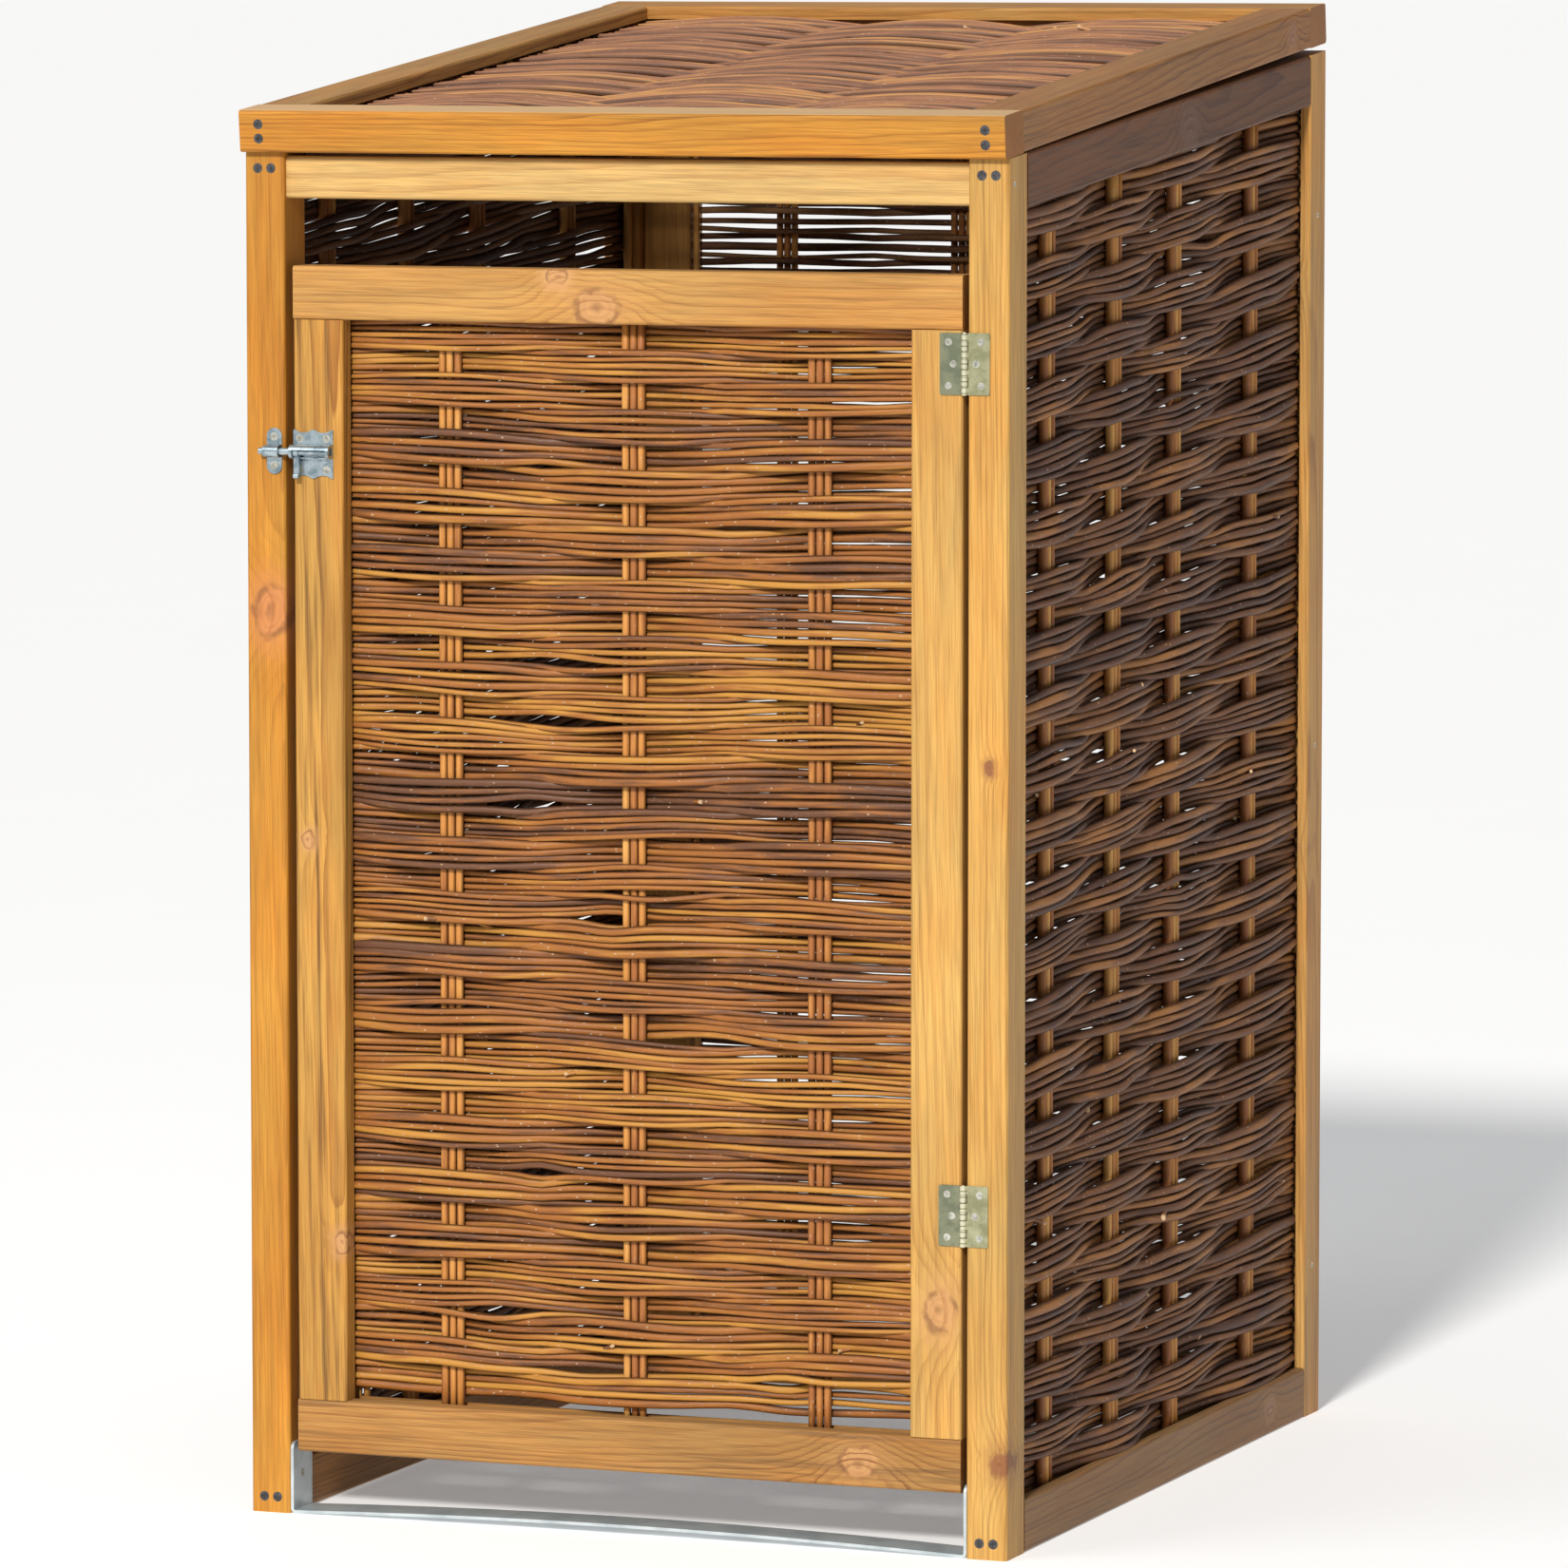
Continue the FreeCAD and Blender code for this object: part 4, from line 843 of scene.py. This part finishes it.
def stakeLines(panel, spot, rng):
    # three upright withies at each group, and one beside each end batten, behind the weft
    size = panel["stakeRadius"]
    length = spot["end"] - spot["start"]
    step = 2 * size + willowSet["stakeGap"]
    along = [spot["start"] + share * length + turn * step
             for share in panel["groups"] for turn in (-1, 0, 1)]
    depth = [0.0] * len(along)
    inset = 2 * willowSet["stakeGap"] + size
    for edge in (spot["start"] + inset, spot["end"] - inset):
        lean = abs(float(swingAt(panel, spot, edge)))
        along.append(edge)
        depth.append(lean * (2 * size) + 2 * size + 0.0012)
    along = np.array(along)
    depth = np.array(depth)
    reach = np.where(depth == 0.0, willowSet["intoGroove"] - 0.0006, 0.0)
    slope = abs(spot["last"] - spot["first"]) / (spot["upperEnd"] - spot["upperStart"])
    low = spot["low"] - reach
    top = topAt(spot, along) + reach - 2 * size * slope
    share = np.linspace(0.0, 1.0, willowSet["stakePoints"])
    height = low[:, None] + (top - low)[:, None] * share
    own = np.broadcast_to(rng.uniform(0.0, 40.0, len(along))[:, None], height.shape)
    sway = 0.00018 * softNoise(rng, height, own, 0.25, 1.0)
    alongAll = along[:, None] + sway
    depthAll = spot["middle"] + depth[:, None] + 0.5 * sway
    flip = rng.choice([-1.0, 1.0], len(along))
    widths = size * (0.97 + 0.03 * flip[:, None] * (share - 0.5) * 2)
    widths = widths * (1.0 + 0.02 * softNoise(rng, height, own, 0.04, 1.0))
    return inSpace(panel, alongAll, depthAll, height), widths


def stubLines(panel, lines, widths, rng):
    # cut side shoots: short pegs that start inside a withy and lean out along it
    count = panel["stubs"]
    which = rng.integers(8, len(lines) - 8, count)
    spotIndex = rng.integers(4, lines.shape[1] - 5, count)
    base = lines[which, spotIndex]
    along = lines[which, spotIndex + 1] - base
    along = along / np.linalg.norm(along, axis=1)[:, None]
    along = along * rng.choice([-1.0, 1.0], count)[:, None]
    lift = rng.uniform(-0.5, 0.5, count)[:, None]
    way = along - willowSet["stubLean"] * panel["inward"] + lift * panel["up"]
    way = way / np.linalg.norm(way, axis=1)[:, None]
    length = rng.uniform(*willowSet["stubLength"], count)
    share = np.linspace(0.0, 1.0, 5)
    line = base[:, None, :] + way[:, None, :] * (length[:, None] * share)[..., None]
    thick = widths[which, spotIndex] * willowSet["stubThickness"]
    return line, thick[:, None] * (1.0 - 0.15 * share)


def tubes(lines, widths, sides, tone, seed, cut, stacking):
    # point = centre + radius * (cos(a) * side + sin(a) * other), with side and other square to
    # the line's own direction; both ends are closed by a fan round a middle point; the seam value
    # is how far a point looks along the stacking direction, at its neighbours, where the bark
    # takes painted shade
    count, points = widths.shape
    way = np.gradient(lines, axis=1)
    way = way / np.linalg.norm(way, axis=2, keepdims=True)
    fixed = np.zeros(3)
    fixed[np.argmin(np.abs(way).mean((0, 1)))] = 1.0
    other = np.cross(way, fixed)
    other = other / np.linalg.norm(other, axis=2, keepdims=True)
    side = np.cross(other, way)
    angle = np.arange(sides) / sides * 2.0 * math.pi
    around = np.cos(angle)[:, None] * side[:, :, None, :]
    around = around + np.sin(angle)[:, None] * other[:, :, None, :]
    rings = lines[:, :, None, :] + widths[:, :, None, None] * around
    seam = np.concatenate([np.abs(around @ stacking).ravel(), np.zeros(count * 2)])
    ends = lines[:, [0, -1], :]
    ringIndex = np.arange(count * points * sides).reshape(count, points, sides)
    nextIndex = np.roll(ringIndex, -1, axis=2)
    quads = np.stack([ringIndex[:, :-1], nextIndex[:, :-1], nextIndex[:, 1:], ringIndex[:, 1:]],
                     axis=-1).reshape(-1, 4)
    endIndex = ringIndex.size + np.arange(count * 2).reshape(count, 2)
    firstMiddle, lastMiddle = (np.broadcast_to(middle, (count, sides))
                               for middle in (endIndex[:, :1], endIndex[:, 1:]))
    firstFan = np.stack([firstMiddle, nextIndex[:, 0], ringIndex[:, 0]], axis=-1)
    lastFan = np.stack([lastMiddle, ringIndex[:, -1], nextIndex[:, -1]], axis=-1)
    fans = np.concatenate([firstFan.reshape(-1, 3), lastFan.reshape(-1, 3)])
    stretch = np.linalg.norm(np.diff(lines, axis=1), axis=2)
    travelled = np.concatenate([np.zeros((count, 1)), np.cumsum(stretch, axis=1)], axis=1)
    turn = np.arange(sides) / sides
    here = np.stack(np.broadcast_arrays(travelled[:, :, None], turn), axis=-1)
    after = np.stack(np.broadcast_arrays(travelled[:, :, None], turn + 1.0 / sides), axis=-1)
    quadUv = np.stack([here[:, :-1], after[:, :-1], after[:, 1:], here[:, 1:]], axis=-2)
    fanUv = np.zeros((len(fans) * 3, 2))
    marks = np.empty((count, points, sides, 3))
    marks[..., 0] = tone[:, None, None]
    marks[..., 1] = seed[:, None, None]
    marks[..., 2] = 0.0
    marks[:, -1, :, 2] = cut
    endMarks = np.stack([np.repeat(tone, 2), np.repeat(seed, 2), np.full(count * 2, cut)], axis=-1)
    corners = np.concatenate([rings.reshape(-1, 3), ends.reshape(-1, 3)])
    marks = np.concatenate([marks.reshape(-1, 3), endMarks])
    return corners, quads, fans, quadUv.reshape(-1, 2), fanUv, marks, seam


def withyMesh(name, sets):
    # one mesh from several sets of tubes, with a UV map along each withy and its marks
    offsets = np.cumsum([0] + [len(made[0]) for made in sets])
    corners, quadUv, fanUv, marks, seams = (
        np.concatenate([made[which] for made in sets]) for which in (0, 3, 4, 5, 6))
    quads, fans = (np.concatenate([made[which] + offset for made, offset in zip(sets, offsets)])
                   for which in (1, 2))
    mesh = bpy.data.meshes.new(name)
    mesh.vertices.add(len(corners))
    mesh.vertices.foreach_set("co", corners.astype(np.float32).ravel())
    mesh.loops.add(quads.size + fans.size)
    loops = np.concatenate([quads.ravel(), fans.ravel()])
    mesh.loops.foreach_set("vertex_index", loops.astype(np.int32))
    starts = np.concatenate([np.arange(len(quads)) * 4, quads.size + np.arange(len(fans)) * 3])
    mesh.polygons.add(len(starts))
    mesh.polygons.foreach_set("loop_start", starts.astype(np.int32))
    smooth = np.arange(len(starts)) < len(quads)
    mesh.polygons.foreach_set("use_smooth", smooth)
    layer = mesh.uv_layers.new(name="withy")
    layer.data.foreach_set("uv", np.concatenate([quadUv, fanUv]).astype(np.float32).ravel())
    mark = mesh.attributes.new("withyMark", "FLOAT_VECTOR", "POINT")
    mark.data.foreach_set("vector", marks.astype(np.float32).ravel())
    seam = mesh.attributes.new("withySeam", "FLOAT", "POINT")
    seam.data.foreach_set("value", seams.astype(np.float32))
    mesh.update(calc_edges=True)
    mesh.validate()
    return addObject(name, mesh)


def barkMaterial(name, values):
    # willow with its bark on; the withy's marks hold its tone, its number and where it is cut
    material, tree, shader = newMaterial(name, {"Specular IOR Level": values["gloss"]})
    mark = split(put(tree, "ShaderNodeAttribute", attribute_name="withyMark").outputs["Vector"])
    wrap = split(put(tree, "ShaderNodeUVMap", uv_map="withy").outputs[0])
    where = joined(wrap[0], wrap[1], mark[1])
    # the seam value and the bark's seam strength place painted shade between withies
    bark = place(tree, willowBark, {
        "Vector": where, "Tone": mark[0], "Cut": mark[2], "Deep": colour(*values["deep"]),
        "Middle": colour(*values["middle"]), "Pale": colour(*values["pale"]),
        "Bloom": values["bloom"],
        "Seam": put(tree, "ShaderNodeAttribute", attribute_name="withySeam").outputs["Fac"],
        "Seam shade": values["seamShade"]})
    feed(tree, shader, {"Base Color": bark["Color"], "Roughness": bark["Roughness"]})
    bumped(tree, shader, bark["Height"], willowSet["barkBump"], 0.8)
    return material


barks = {name: barkMaterial("willow_" + name, values) for name, values in barkColours.items()}


def finishPanel(piece, material, body, node):
    # the piece takes its bark, rides on its body and stands for its frame node
    piece.data.materials.append(material)
    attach(piece, body)
    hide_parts(node)


def drawnMarks(rng, count):
    # a tone and a number for each withy
    return rng.beta(2.0, 2.0, count), rng.uniform(0.0, 50.0, count)


for panelName, panelValues in willowPanels.items():
    draw = np.random.default_rng(panelValues["seed"])
    opening = panelPlace(panelValues)
    weft, weftWidths = weftLines(panelValues, opening, draw)
    stubs, stubWidths = stubLines(panelValues, weft, weftWidths, draw)
    sides = willowSet["sides"]
    bandTone = 0.16 * softNoise(draw, np.arange(len(weft)), np.zeros(len(weft)), 14.0, 1.0)
    weftTone = (draw.beta(2.2, 2.4, len(weft)) + bandTone).clip(0.0, 1.0)
    weftNumber = draw.uniform(0.0, 50.0, len(weft))
    weftSet = tubes(weft, weftWidths, sides, weftTone, weftNumber, 0.0, panelValues["up"])
    stubSet = tubes(stubs, stubWidths, sides, *drawnMarks(draw, len(stubs)), 1.0, np.zeros(3))
    weftPiece = withyMesh(panelName + "Weft", [weftSet, stubSet])
    stakes, stakeWidths = stakeLines(panelValues, opening, draw)
    stakeSet = tubes(stakes, stakeWidths, willowSet["stakeSides"],
                     *drawnMarks(draw, len(stakes)), 0.0, panelValues["weft"])
    stakePiece = withyMesh(panelName + "Stakes", [stakeSet])
    body, nodes = panelValues["body"], panelValues["nodes"]
    finishPanel(weftPiece, barks[panelValues["bark"]], body, nodes[0])
    finishPanel(stakePiece, barks["stake"], body, nodes[1])
    print("woven:", panelName, len(weft), "withies", len(weftPiece.data.polygons), "faces")


stageSet = {
    "floorSize": 400.0, "floorColour": (0.90, 0.90, 0.90), "floorGlow": 0.25,
    "sunAzimuth": 5.0, "sunHeight": 30.0, "sunStrength": 3.3, "sunAngle": 8.0,
    "sunColour": (1.0, 0.98, 0.94),
    "skyStrength": 0.28, "skyColour": (0.95, 0.97, 1.0),
    "boxAzimuth": -35.0, "boxHeight": 40.0, "boxDistance": 4.0, "boxSize": 2.0, "boxPower": 30.0,
}
cameraSet = {
    "lens": 212.1, "azimuth": 21.16, "elevation": 5.30, "distance": 7.647,
    "aim": (0.0021, -0.046, 0.5726), "nearest": 0.1, "farthest": 500.0,
}


def wayFrom(azimuth, elevation):
    # unit vector from the object towards a place round it; azimuth 0 is in front of the door
    turn, rise = math.radians(azimuth), math.radians(elevation)
    flat = math.cos(rise)
    return Vector((math.sin(turn) * flat, -math.cos(turn) * flat, math.sin(rise)))


def makeFloor():
    # one large pale sheet at ground height, faintly mottled
    half = stageSet["floorSize"] / 2
    mesh = bpy.data.meshes.new("floor")
    corners = [(-half, -half, 0), (half, -half, 0), (half, half, 0), (-half, half, 0)]
    mesh.from_pydata(corners, [], [(0, 1, 2, 3)])
    fixed = {"Roughness": 0.9, "Specular IOR Level": 0.1}
    material, tree, shader = newMaterial("floorPaper", fixed)
    where = tree.nodes.new("ShaderNodeTexCoord").outputs["Object"]
    mottle = cloudy(where, 3.0, 3.0)["Fac"]
    base = stageSet["floorColour"]
    darker = tuple(value * 0.985 for value in base)
    paper = mixed(mottle, colour(*base), colour(*darker))
    feed(tree, shader, {"Base Color": paper})
    shader["Emission Color"].default_value = (1, 1, 1, 1)
    shader["Emission Strength"].default_value = stageSet["floorGlow"]
    mesh.materials.append(material)
    addObject("floor", mesh)


def makeLights():
    # a broad sun from the front, a soft box from the left and an even sky
    scene = bpy.context.scene
    sun = bpy.data.lights.new("sun", "SUN")
    sun.energy = stageSet["sunStrength"]
    sun.angle = math.radians(stageSet["sunAngle"])
    sun.color = stageSet["sunColour"]
    sunObject = addObject("sun", sun)
    sunWay = wayFrom(stageSet["sunAzimuth"], stageSet["sunHeight"])
    sunObject.rotation_euler = sunWay.to_track_quat("Z", "Y").to_euler()
    softBox = bpy.data.lights.new("softBox", "AREA")
    softBox.size = stageSet["boxSize"]
    softBox.energy = stageSet["boxPower"]
    boxObject = addObject("softBox", softBox)
    boxWay = wayFrom(stageSet["boxAzimuth"], stageSet["boxHeight"])
    boxObject.location = boxWay * stageSet["boxDistance"] + Vector(cameraSet["aim"])
    boxObject.rotation_euler = boxWay.to_track_quat("Z", "Y").to_euler()
    world = bpy.data.worlds.new("sky")
    world.use_nodes = True
    background = world.node_tree.nodes["Background"].inputs
    background["Color"].default_value = (*stageSet["skyColour"], 1.0)
    background["Strength"].default_value = stageSet["skyStrength"]
    scene.world = world
    scene.view_settings.view_transform = "Standard"


def makeCamera():
    # level camera on the line from the aim point out to its azimuth and elevation
    camera = bpy.data.cameras.new("camera")
    camera.lens = cameraSet["lens"]
    camera.sensor_width = 36.0
    camera.clip_start = cameraSet["nearest"]
    camera.clip_end = cameraSet["farthest"]
    cameraObject = addObject("camera", camera)
    back = wayFrom(cameraSet["azimuth"], cameraSet["elevation"])
    cameraObject.location = Vector(cameraSet["aim"]) + back * cameraSet["distance"]
    cameraObject.rotation_euler = back.to_track_quat("Z", "Y").to_euler()
    bpy.context.scene.camera = cameraObject


makeFloor()
makeLights()
makeCamera()
print("stage set")
